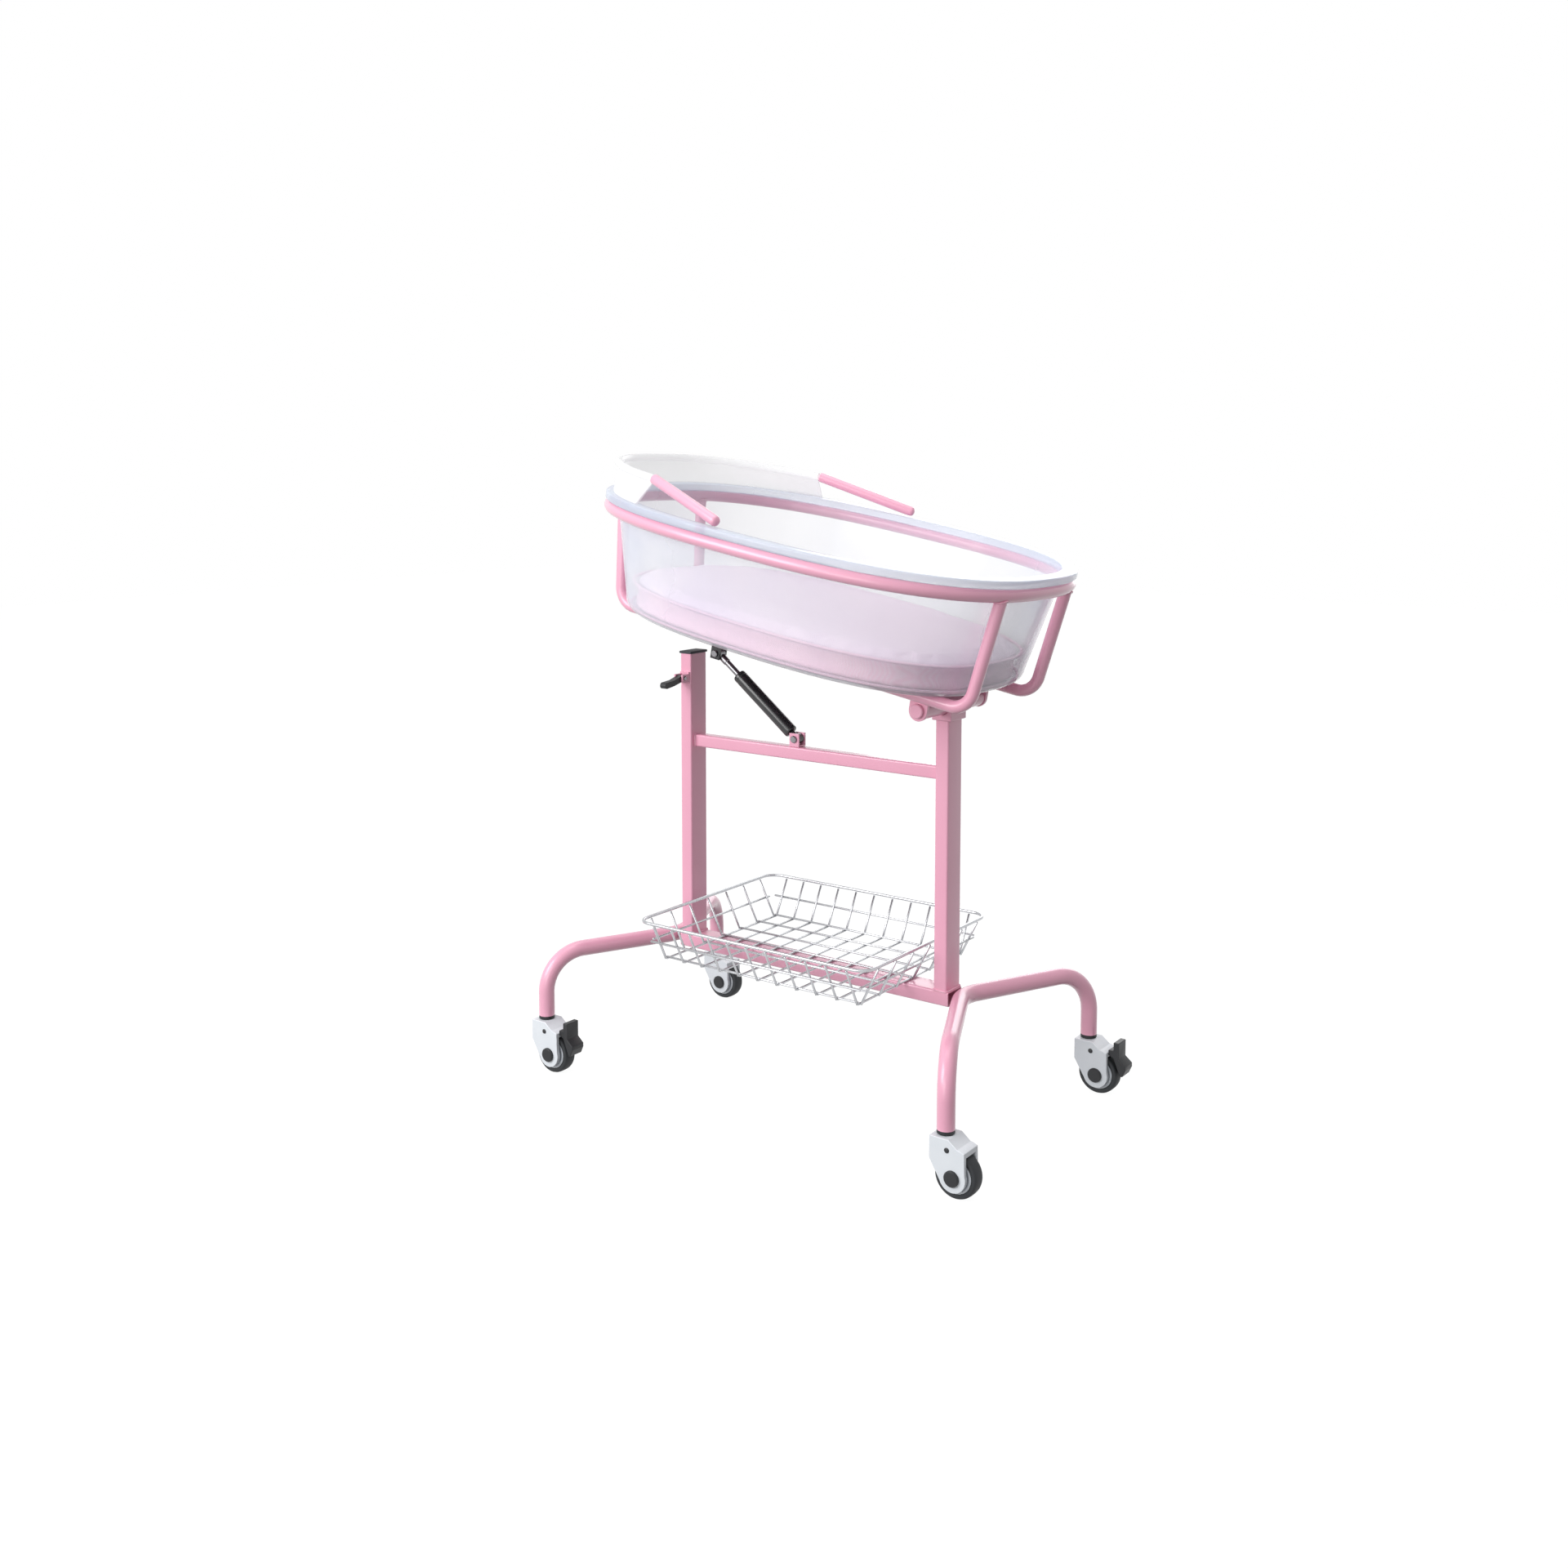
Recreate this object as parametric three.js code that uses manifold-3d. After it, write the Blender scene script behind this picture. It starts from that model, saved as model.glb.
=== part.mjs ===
// Hospital bassinet: an oval cradle with a clear basin and a mattress, hinged on a steel trolley
// with four swivel casters and a wire basket. A gas spring holds the cradle at its tilt.
// Millimetres, +Z up, +X from the head end to the foot end, +Y from the front to the back.
// The model stands on the floor, with the middle of its outline on the origin.
import * as THREE from 'three';
import { ParametricGeometry } from 'three/addons/geometries/ParametricGeometry.js';
import { mergeVertices } from 'three/addons/utils/BufferGeometryUtils.js';
import Module from 'manifold-3d';

// Clearances
const weldGap = 0.3; // pieces that are welded, plugged or laid on each other
const runningGap = 0.4; // pieces that turn or slide on each other
const mergeDistance = 0.0005;
const bendStep = 0.26; // radians of a tube's bend in one facet

// Trolley frame
const beamWidth = 40;
const beamHeight = 22;
const beamTop = 194;
const tubeWall = 2;
const postSpacing = 480; // post axis to post axis
const postThick = 22; // along the beam
const postWide = 40; // across the beam
const leftPostTop = 657;
const rightPostTop = 594;
const capThick = 4;
const capMargin = 1.5; // the cap laps over the post's edges
const crossbarSize = 20;
const crossbarHeight = 515; // its axis above the floor

// Leg bows
const legDiameter = 25;
const legSides = 12;
const footSpanX = 734; // swivel axis to swivel axis, along the beam
const footSpanY = 434; // swivel axis to swivel axis, across the beam
const bowApex = 265; // where the two straight runs of a bow would cross, from the middle
const bowBend = 60;
const bowRise = 4; // the bow's axis above the beam's
const legBend = 62;

// Casters
const casterHeight = 88; // floor to the end of the leg tube
const casterTrail = 20;
const wheelRadius = 32;
const wheelSides = 24;
const treadWidth = 22;
const treadFlat = 14;
const tyreDepth = 8;
const axleDiameter = 8;
const hubCapDiameter = 22;
const hubCapThick = 4;
const smallSides = 12;
const hoodPlate = 6; // thickness of each side plate
const hoodSideGap = 1.5; // side plate to tyre
const hoodClearance = 3; // hood to tread
const hoodWall = 6; // hood over the tread
const hoodPlateRadius = 20; // the side plate's round end about the axle
const hoodFront = 15; // front face ahead of the swivel axis
const hoodNeck = 14; // half length of the flat top, behind the swivel axis
const stemDiameter = 12;
const stemDepth = 17; // in the hood
const stemPlug = 16; // in the leg tube
const collarDiameter = 29;
const collarThick = 5;

// Brake pedal, an upright plate behind the hood with a foot that stands out, measured from the axle
const pedalWidth = 26;
const pedalTop = 55;
const pedalBack = 27; // the plate's near face
const pedalThick = 9;
const pedalKnee = 30; // height at which the foot starts
const pedalFoot = 47; // how far the foot's tip stands out
const pedalFootTop = 21;
const pedalFootThick = 6;
const pedalHeel = 4; // height of its lower end
const pedalHeelBack = 38;
const pedalHeelThick = 4;
const pedalArm = 8; // height of the arm that joins it to the hood
const pedalPivot = 38; // height of its pivot
const pedalGap = 0.7; // to the hood
const pedalPress = 4; // degrees

// Hinge on the right post
const hingeHeight = 617;
const barrelDiameter = 27;
const hingePinDiameter = 14;
const pinHeadDiameter = 21;
const pinHeadThick = 5;
const lugThick = 6;
const lugRadius = 15;
const saddleLength = 32;
const saddleWidth = 44;
const saddleWrap = 5; // the saddle ends this far below the hinge axis

// Cradle frame, seen level and measured from the hinge axis
const cradleTilt = 10.3; // degrees, head end up
const ringCentre = -240;
const ringHeight = 192;
const ringLength = 710; // tube axis to tube axis
const ringWidth = 528;
const ringPower = 2.6; // exponent of the oval: 2 is an ellipse, more is squarer
const ringDiameter = 19;
const ringSteps = 56;
const railDiameter = 18;
const railSpacing = 194; // axis to axis
const railDrop = 168; // below the ring
const railLean = 22; // the upright ends stand this much closer together at the bottom
const railBend = 32;
const cradleSides = 10;

// Cross plate, gas spring and its brackets
const plateLength = 96;
const plateThick = 5;
const plateDrop = 3; // below the basin's floor
const plateStandoff = 60; // its foot end from the left post's axis, seen level
const springStandoff = 52; // upper pin from the left post's axis, seen level
const springPinZ = -34;
const springFootX = -31; // lower pin, from the trolley's middle
const springFootRise = 12; // above the crossbar
const springPinDiameter = 8;
const springDiameter = 22;
const springStart = 14; // lower pin to the cylinder
const springEnd = 146; // lower pin to the cylinder's mouth
const springBoreEnd = 24; // solid end of the cylinder
const rodDiameter = 10;
const rodInside = 66; // rod within the cylinder
const rodFerrule = 12;
const ferruleLength = 12;
const eyeRadius = 8;
const eyeWidth = 12;
const rodEyeRadius = 10;
const rodEyePlay = 2.8; // radial play of the upper pin in the rod's eye
const cheekThick = 3;
const cheekHalf = 9; // half width of a bracket's cheek
const bracketBase = 3;
const pinOverhang = 3;

// Basin and mattress, offsets inward from the ring's axis
const basinGap = 2; // basin wall to ring tube
const basinWall = 3;
const basinTaper = 30; // the wall draws in by this much to the corner
const basinCorner = 22;
const lipReach = 9; // the lip reaches out past the ring's axis
const lipThick = 12;
const basinSteps = 48;
const mattressThick = 47;
const mattressCrown = 7;
const mattressGap = 1.5; // to the curve at the edge of the basin's floor
const mattressWaist = 3; // the sides draw in
const mattressEdge = 7;

// Head guard, a panel that stands on the basin's lip about the head end
const guardThick = 3;
const guardTop = 60; // bead axis above the ring's axis
const guardLength = 742; // full length and width of the oval that the bead follows
const guardWidth = 456;
const guardBead = 12;
const guardEnd = 191; // the bead's ends, headward of the ring's middle
const guardSkirt = 1.06; // the panel's foot runs this much further round than its bead
const guardSteps = 26;
const beadSteps = 8;
const armDiameter = 16;
const armFoot = 25; // the arm's lower end, headward of the ring's middle

// Release lever on the left post
const leverHeight = 619;
const leverReach = 45;
const leverDroop = 8;
const leverStandoff = 12; // pivot ahead of the post
const leverWidth = 11;
const leverEye = 6; // half height of the bracket's cheeks
const leverEyeTrim = 1; // the lever's eye is smaller than the cheeks by this much
const leverGrip = 5; // half thickness at the tip
const leverPinDiameter = 6;

// Wire basket
const basketLength = 423; // rim axis to rim axis
const basketWidth = 349;
const basketRim = 257; // rim axis above the floor
const basketInset = 33; // the floor is this much smaller all round
const basketCorner = 24;
const rimWire = 5;
const wire = 3.5;
const wireLap = 1.4; // crossing wires sink into each other where they are welded
const wiresAlong = 11; // uprights on a long side
const wiresAcross = 7; // uprights on a short side

const wasm = await Module();
wasm.setup();

const radians = THREE.MathUtils.degToRad;
const postX = postSpacing / 2;
const beamAxis = beamTop - beamHeight / 2;
const legRadius = legDiameter / 2;
const legBore = legRadius - tubeWall;
const axleHeight = wheelRadius * Math.cos(Math.PI / wheelSides);
const ringRadius = ringDiameter / 2;
const railRadius = railDiameter / 2;
const railY = railSpacing / 2;
const railZ = ringHeight - railDrop;
const basinFloor = -railDrop + railRadius + weldGap; // underside, from the ring's axis

// Shared corners are joined, collapsed triangles dropped and all faces turned outwards.
function closed(geometry) {
  const bare = geometry.clone();
  bare.deleteAttribute('normal');
  bare.deleteAttribute('uv');
  const joined = mergeVertices(bare, mergeDistance);
  const corners = joined.index.array;
  const at = new THREE.Vector3();
  const point = (i) => at.clone().fromBufferAttribute(joined.attributes.position, i);
  let kept = [];
  let volume = 0;
  for (let i = 0; i < corners.length; i += 3) {
    const [a, b, c] = corners.slice(i, i + 3);
    if (a === b || b === c || c === a) continue;
    kept.push(a, b, c);
    volume += point(a).dot(point(b).cross(point(c)));
  }
  if (volume < 0) kept = kept.reverse();
  joined.setIndex(kept);
  joined.computeVertexNormals();
  return joined;
}

// A closed geometry as a body that can be joined and cut.
function body(geometry) {
  const { attributes, index } = closed(geometry);
  const vertProperties = new Float32Array(attributes.position.array);
  const triVerts = new Uint32Array(index.array);
  return new wasm.Manifold(new wasm.Mesh({ numProp: 3, vertProperties, triVerts }));
}

function shapeOf(solid) {
  const { vertProperties, triVerts } = solid.getMesh();
  const geometry = new THREE.BufferGeometry();
  geometry.setAttribute('position', new THREE.BufferAttribute(vertProperties, 3));
  geometry.setIndex(new THREE.BufferAttribute(triVerts, 1));
  geometry.computeVertexNormals();
  return geometry;
}

const join = (...parts) => shapeOf(parts.map(body).reduce((all, part) => all.add(part)));
const cut = (part, ...tools) => shapeOf(
  tools.map(body).reduce((all, tool) => all.subtract(tool), body(part)));

// Finishes
const paint = () => new THREE.MeshStandardMaterial({ color: 0xe9b9cb, roughness: 0.38, metalness: 0.1 });
const steel = () => new THREE.MeshStandardMaterial({ color: 0xb9bcc0, roughness: 0.28, metalness: 1 });
const black = () => new THREE.MeshStandardMaterial({ color: 0x1a1b1f, roughness: 0.45, metalness: 0.2 });
const rubber = () => new THREE.MeshStandardMaterial({ color: 0x2b2d31, roughness: 0.8, metalness: 0 });
const white = () => new THREE.MeshStandardMaterial({ color: 0xe9edf2, roughness: 0.4, metalness: 0 });
const clear = () => new THREE.MeshStandardMaterial({ color: 0xe6edf2, roughness: 0.15, metalness: 0 });
const cloth = () => new THREE.MeshStandardMaterial({ color: 0xe8d5e4, roughness: 0.9, metalness: 0 });

const bassinet = new THREE.Group();

function piece(name, geometry, material, parent = bassinet) {
  const mesh = new THREE.Mesh(closed(geometry), material);
  mesh.name = name;
  parent.add(mesh);
  return mesh;
}

function box(sizeX, sizeY, sizeZ, x, y, z) {
  return new THREE.BoxGeometry(sizeX, sizeY, sizeZ).translate(x, y, z);
}

// A round bar along Y, centred on (x, 0, z).
function barAlongY(radius, length, x, z, sides = smallSides) {
  return new THREE.CylinderGeometry(radius, radius, length, sides).translate(x, 0, z);
}

// A profile of (radius, height) corners turned about Z.
function turned(profile, sides) {
  const points = profile.map(([r, h]) => new THREE.Vector2(r, h));
  return new THREE.LatheGeometry(points, sides).rotateX(Math.PI / 2);
}

// A profile of (radius, width) corners turned about Y, with a flat at the bottom.
function turnedWheel(profile, sides) {
  const points = profile.map(([r, h]) => new THREE.Vector2(r, h));
  return new THREE.LatheGeometry(points, sides, Math.PI / sides);
}

// An outline in X and Z carried along Y, centred on Y = 0.
function plateInXZ(outline, width) {
  const slab = new THREE.ExtrudeGeometry(outline, { depth: width, bevelEnabled: false, curveSegments: 8 });
  return slab.rotateX(Math.PI / 2).translate(0, width / 2, 0);
}

function roundSection(radius, bore, sides) {
  const circle = (r) => Array.from({ length: sides }, (_, i) => {
    const angle = (2 * Math.PI * i) / sides;
    return new THREE.Vector2(r * Math.cos(angle), r * Math.sin(angle));
  });
  const section = new THREE.Shape(circle(radius));
  if (bore > 0) section.holes.push(new THREE.Path(circle(bore).reverse()));
  return section;
}

function swept(section, path, steps = path.steps) {
  return new THREE.ExtrudeGeometry(section, { steps, extrudePath: path, bevelEnabled: false });
}

// A circular arc that rounds the corner between two straight runs.
class CornerArc extends THREE.Curve {
  constructor(corner, inward, outward, radius) {
    super();
    const turn = inward.angleTo(outward);
    this.turn = turn;
    this.radius = radius;
    this.run = radius * Math.tan(turn / 2);
    this.from = corner.clone().addScaledVector(inward, -this.run);
    this.to = corner.clone().addScaledVector(outward, this.run);
    this.forward = inward;
    this.side = outward.clone().addScaledVector(inward, -Math.cos(turn)).normalize();
  }

  getPoint(t, target = new THREE.Vector3()) {
    const angle = this.turn * t;
    return target.copy(this.from)
      .addScaledVector(this.forward, this.radius * Math.sin(angle))
      .addScaledVector(this.side, this.radius * (1 - Math.cos(angle)));
  }
}

// Lines and arcs end to end, each drawn in its own number of steps.
class BentRun extends THREE.Curve {
  constructor() {
    super();
    this.spans = [];
    this.steps = 0;
  }

  add(curve, steps) {
    this.spans.push({ curve, first: this.steps, steps });
    this.steps += steps;
  }

  getPoint(t, target = new THREE.Vector3()) {
    const place = THREE.MathUtils.clamp(t, 0, 1) * this.steps;
    const span = this.spans.findLast(({ first }) => first <= place);
    return span.curve.getPoint(Math.min((place - span.first) / span.steps, 1), target);
  }

  getUtoTmapping(u) {
    return u;
  }
}

// Straight runs through the points, with every inner corner rounded by its radius.
function roundedPath(points, radii) {
  const path = new BentRun();
  let last = points[0];
  for (let i = 1; i < points.length - 1; i += 1) {
    const inward = points[i].clone().sub(points[i - 1]).normalize();
    const outward = points[i + 1].clone().sub(points[i]).normalize();
    const arc = new CornerArc(points[i], inward, outward, radii[i - 1]);
    path.add(new THREE.LineCurve3(last, arc.from), 1);
    path.add(arc, Math.max(2, Math.round(arc.turn / bendStep)));
    last = arc.to;
  }
  path.add(new THREE.LineCurve3(last, points[points.length - 1]), 1);
  return path;
}

// A point of the oval |2x/length|^n + |2y/width|^n = 1 at an angle, and moved out along its normal.
function ovalPoint(angle, offset, length = ringLength, width = ringWidth) {
  const a = length / 2;
  const b = width / 2;
  const reach = Math.abs(Math.cos(angle) / a) ** ringPower + Math.abs(Math.sin(angle) / b) ** ringPower;
  const r = reach ** (-1 / ringPower);
  const x = r * Math.cos(angle);
  const y = r * Math.sin(angle);
  const slopeX = (Math.sign(x) * Math.abs(x / a) ** (ringPower - 1)) / a;
  const slopeY = (Math.sign(y) * Math.abs(y / b) ** (ringPower - 1)) / b;
  const size = Math.hypot(slopeX, slopeY);
  return [x + (offset * slopeX) / size, y + (offset * slopeY) / size];
}

// Where the ring's oval is at a distance across, and the angle of an oval's point at an X.
function ovalReach(y) {
  return (ringLength / 2) * (1 - Math.abs((2 * y) / ringWidth) ** ringPower) ** (1 / ringPower);
}

function ovalAngle(x, length, width) {
  const y = (width / 2) * (1 - Math.abs((2 * x) / length) ** ringPower) ** (1 / ringPower);
  return Math.atan2(y, x);
}

// Ovals stacked from one middle to the other: each row is an offset from the ring, a height and a scale.
function stackedOvals(rows, steps) {
  const grid = (u, v, target) => {
    const [offset, height, scale = 1] = rows[Math.round(v * (rows.length - 1))];
    const [x, y] = ovalPoint(2 * Math.PI * (u < 1 ? u : 0), offset);
    target.set(x * scale, y * scale, height);
  };
  return new ParametricGeometry(grid, steps, rows.length - 1);
}

// A round tube along the closed oval.
function ovalTube(radius, sides, steps) {
  const grid = (u, v, target) => {
    const around = 2 * Math.PI * (v < 1 ? v : 0);
    const [x, y] = ovalPoint(2 * Math.PI * (u < 1 ? u : 0), radius * Math.cos(around));
    target.set(x, y, radius * Math.sin(around));
  };
  return new ParametricGeometry(grid, steps, sides);
}

// Trolley: beam, posts and crossbar of rectangular tube

function rectangularTube(sizeX, sizeY, length) {
  const outline = (half) => [
    new THREE.Vector2(-sizeX / 2 + half, -sizeY / 2 + half),
    new THREE.Vector2(sizeX / 2 - half, -sizeY / 2 + half),
    new THREE.Vector2(sizeX / 2 - half, sizeY / 2 - half),
    new THREE.Vector2(-sizeX / 2 + half, sizeY / 2 - half),
  ];
  const section = new THREE.Shape(outline(0));
  section.holes.push(new THREE.Path(outline(tubeWall).reverse()));
  return new THREE.ExtrudeGeometry(section, { depth: length, bevelEnabled: false });
}

// One bow: up from the front foot, along to the beam's end and down to the back foot.
function bowPath(side) {
  const foot = (y, z) => new THREE.Vector3((side * footSpanX) / 2, (y * footSpanY) / 2, z);
  const corners = [
    foot(-1, casterHeight),
    foot(-1, beamAxis + bowRise),
    new THREE.Vector3(side * bowApex, 0, beamAxis + bowRise),
    foot(1, beamAxis + bowRise),
    foot(1, casterHeight),
  ];
  return roundedPath(corners, [legBend, bowBend, legBend]);
}

const bowTube = (side, growth, bore) =>
  swept(roundSection(legRadius + growth, bore, legSides), bowPath(side));

piece('left_leg_bow', bowTube(-1, 0, legBore), paint());
piece('right_leg_bow', bowTube(1, 0, legBore), paint());

const beamLength = 2 * bowApex + legDiameter;
const beam = rectangularTube(beamHeight, beamWidth, beamLength)
  .rotateY(Math.PI / 2)
  .translate(-beamLength / 2, 0, beamAxis);
const beamCuts = [bowTube(-1, weldGap, 0), bowTube(1, weldGap, 0), beamEndCut(-1), beamEndCut(1)];
piece('base_beam', cut(beam, ...beamCuts), paint());

// What would stick out past the bow's axis at the beam's end.
function beamEndCut(side) {
  const reach = legDiameter;
  return box(reach, 2 * beamWidth, 2 * beamHeight, side * (bowApex + reach / 2), 0, beamAxis);
}

function post(x, top) {
  const foot = beamTop + weldGap;
  return rectangularTube(postThick, postWide, top - foot).translate(x, 0, foot);
}

piece('left_post', post(-postX, leftPostTop), paint());
piece('right_post', post(postX, rightPostTop), paint());

const capZ = leftPostTop + weldGap + capThick / 2;
piece('left_post_cap', box(
  postThick + 2 * capMargin, postWide + 2 * capMargin, capThick, -postX, 0, capZ), rubber());

const crossbarLength = postSpacing - postThick - 2 * weldGap;
const crossbarTop = crossbarHeight + crossbarSize / 2;
piece('crossbar', rectangularTube(crossbarSize, crossbarSize, crossbarLength)
  .rotateY(Math.PI / 2)
  .translate(-crossbarLength / 2, 0, crossbarHeight), paint());

// Hinge: a saddle on the right post carries a barrel, and a long pin runs through it

const lugInside = railY - railRadius - weldGap - lugThick;
const lugOutside = lugInside + lugThick;
const barrelLength = 2 * (lugInside - runningGap);
const barrelRadius = barrelDiameter / 2;
const pinRadius = hingePinDiameter / 2;

function tubeAlongY(radius, bore, length, sides) {
  const half = length / 2;
  return turnedWheel([[bore, -half], [radius, -half], [radius, half], [bore, half], [bore, -half]], sides);
}

const boreFor = (radius, sides) => (radius + runningGap) / Math.cos(Math.PI / sides);
const barrel = tubeAlongY(barrelRadius, boreFor(pinRadius, smallSides), barrelLength, 2 * smallSides);
piece('hinge_barrel', barrel.translate(postX, 0, hingeHeight), paint());

const saddleFoot = rightPostTop + weldGap;
const saddleHeight = hingeHeight - saddleWrap - saddleFoot;
const saddleBlock = box(saddleLength, saddleWidth, saddleHeight, postX, 0, saddleFoot + saddleHeight / 2);
const saddleGroove = barAlongY(barrelRadius + weldGap, 2 * saddleWidth, postX, hingeHeight, 2 * smallSides);
piece('hinge_saddle', cut(saddleBlock, saddleGroove), paint());

// A pin along Y with a head at each end, seated on faces that are a length apart.
function headedPin(radius, headRadius, headThick, length) {
  const seat = length / 2 + weldGap;
  const end = seat + headThick;
  const profile = [[0, -end], [headRadius, -end], [headRadius, -seat], [radius, -seat],
    [radius, seat], [headRadius, seat], [headRadius, end], [0, end]];
  return turnedWheel(profile, smallSides);
}

const hingePin = headedPin(pinRadius, pinHeadDiameter / 2, pinHeadThick, 2 * lugOutside);
piece('hinge_pin', hingePin.translate(postX, 0, hingeHeight), paint());

// Cradle: everything here is seen level, with the hinge axis as its origin

const cradle = new THREE.Group();
cradle.position.set(postX, 0, hingeHeight);
cradle.rotation.y = radians(cradleTilt);
bassinet.add(cradle);

const bed = new THREE.Group();
bed.position.set(ringCentre, 0, ringHeight);
cradle.add(bed);

piece('cradle_ring', cut(ovalTube(ringRadius, cradleSides, ringSteps)), paint(), bed);

// A rail hangs from the ring at both ends, and its ends are coped to the ring's tube.
function railTube(y, growth, bore) {
  const top = ovalReach(y);
  const low = top - railLean;
  const corners = [[-top, 0], [-low, -railDrop], [low, -railDrop], [top, 0]];
  const path = roundedPath(corners.map(([x, z]) => new THREE.Vector3(x, y, z)), [railBend, railBend]);
  return swept(roundSection(railRadius + growth, bore, cradleSides), path);
}

const ringCope = ovalTube(ringRadius + weldGap, cradleSides, ringSteps);
const ringRoof = box(ringLength * 2, ringWidth * 2, ringDiameter, 0, 0, ringDiameter / 2);
const rail = (y) => cut(railTube(y, 0, railRadius - tubeWall), ringCope, ringRoof);
piece('front_rail', rail(-railY), paint(), bed);
piece('back_rail', rail(railY), paint(), bed);

function hingeLug(y) {
  const outline = new THREE.Shape();
  outline.moveTo(lugRadius, 0);
  outline.lineTo(lugRadius, railZ + railRadius / 2);
  outline.lineTo(-lugRadius, railZ + railRadius / 2);
  outline.lineTo(-lugRadius, 0);
  outline.absarc(0, 0, lugRadius, Math.PI, 2 * Math.PI, false);
  const plate = plateInXZ(outline, lugThick);
  return cut(plate, barAlongY(boreFor(pinRadius, smallSides), 2 * lugThick, 0, 0)).translate(0, y, 0);
}

const lugY = (lugInside + lugOutside) / 2;
piece('front_hinge_lug', hingeLug(-lugY), paint(), cradle);
piece('back_hinge_lug', hingeLug(lugY), paint(), cradle);

// The cross plate lies between the rails, under the basin's floor.
const plateTop = ringHeight + basinFloor - plateDrop;
const plateMiddle = plateStandoff - postSpacing - plateLength / 2;
const crossPlate = box(plateLength, railSpacing, plateThick, plateMiddle, 0, plateTop - plateThick / 2);
const railCope = (y) => railTube(y, weldGap, 0).translate(ringCentre, 0, ringHeight);
piece('cross_plate', cut(crossPlate, railCope(-railY), railCope(railY)), paint(), cradle);

// Gas spring brackets: a base with two cheeks and a pin hole, base at height 0 and pin at the given height.
const springPinRadius = springPinDiameter / 2;
const cheekInside = eyeWidth / 2 + runningGap;
const cheekOutside = cheekInside + cheekThick;

function springBracket(height) {
  const up = Math.sign(height);
  const base = box(2 * cheekHalf, 2 * cheekOutside, bracketBase, 0, 0, (up * bracketBase) / 2);
  const tip = Math.abs(height) + cheekHalf;
  const cheekY = cheekInside + cheekThick / 2;
  const cheek = (side) => box(2 * cheekHalf, cheekThick, tip, 0, side * cheekY, (up * tip) / 2);
  const holeRadius = (springPinRadius + weldGap) / Math.cos(Math.PI / smallSides);
  const hole = barAlongY(holeRadius, 4 * cheekOutside, 0, height);
  return cut(join(base, cheek(-1), cheek(1)), hole);
}

const springPinX = springStandoff - postSpacing; // from the hinge axis
const bracketTop = plateTop - plateThick - weldGap;
const upperBracket = springBracket(springPinZ - bracketTop).translate(springPinX, 0, bracketTop);
piece('upper_spring_bracket', upperBracket, black(), cradle);

const springPin = () => headedPin(
  springPinRadius, springPinRadius + pinOverhang / 2, pinOverhang, 2 * cheekOutside);
piece('upper_spring_pin', springPin().translate(springPinX, 0, springPinZ), steel(), cradle);

const springFootZ = crossbarTop + weldGap + springFootRise;
const clevis = springBracket(springFootRise).translate(springFootX, 0, crossbarTop + weldGap);
piece('spring_clevis', clevis, paint());
piece('lower_spring_pin', springPin().translate(springFootX, 0, springFootZ), steel());

// Gas spring, drawn upright on its lower pin and then leaned to the upper pin

const upperPin = new THREE.Vector3(springPinX, 0, springPinZ)
  .applyAxisAngle(new THREE.Vector3(0, 1, 0), radians(cradleTilt))
  .add(cradle.position);
const springFoot = new THREE.Vector3(springFootX, 0, springFootZ);
const springAim = upperPin.clone().sub(springFoot);
const springLength = springAim.length();
const spring = new THREE.Group();
spring.position.copy(springFoot);
spring.rotation.y = Math.atan2(springAim.x, springAim.z);
bassinet.add(spring);

const springRadius = springDiameter / 2;
const rodRadius = rodDiameter / 2;
const springChamfer = 2;
const springBore = rodRadius + runningGap;
const cylinderProfile = [
  [0, 0], [rodRadius, 0], [rodRadius, springStart],
  [springRadius - springChamfer, springStart], [springRadius, springStart + springChamfer],
  [springRadius, springEnd - springChamfer], [springRadius - springChamfer, springEnd],
  [springBore, springEnd], [springBore, springBoreEnd], [0, springBoreEnd],
];
const eye = (radius, z) => barAlongY(radius, eyeWidth, 0, z, 2 * smallSides);
const pinHole = (play, z) => barAlongY(springPinRadius + play, 2 * eyeWidth, 0, z);
const cylinderBody = join(turned(cylinderProfile, 2 * smallSides), eye(eyeRadius, 0));
const cylinder = cut(cylinderBody, pinHole(runningGap, 0));
piece('spring_cylinder', cylinder, black(), spring);

const rodProfile = [
  [0, springEnd - rodInside], [rodRadius, springEnd - rodInside],
  [rodRadius, springLength - rodEyeRadius - ferruleLength],
  [rodFerrule / 2, springLength - rodEyeRadius - ferruleLength],
  [rodFerrule / 2, springLength], [0, springLength],
];
const rodEye = eye(rodEyeRadius, springLength);
const rodBody = join(turned(rodProfile, smallSides), rodEye);
piece('spring_rod', cut(rodBody, pinHole(rodEyePlay, springLength)), steel(), spring);

// Basin: an oval tub of clear plastic whose lip lies on the ring

const wallOutside = -(ringRadius + basinGap);
const lipUnder = ringRadius + weldGap;
const lipTop = lipUnder + lipThick;
const lipRound = 2.5;
const cornerTop = basinFloor + basinCorner;
const wallLow = wallOutside - basinTaper;

// The quarter circle from the wall down to the floor, as offset and height rows.
function cornerRows(radius, wall, floor, steps) {
  return Array.from({ length: steps + 1 }, (_, i) => {
    const angle = (i / steps) * (Math.PI / 2);
    return [wall - radius * (1 - Math.cos(angle)), floor + radius * (1 - Math.sin(angle))];
  });
}

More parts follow.
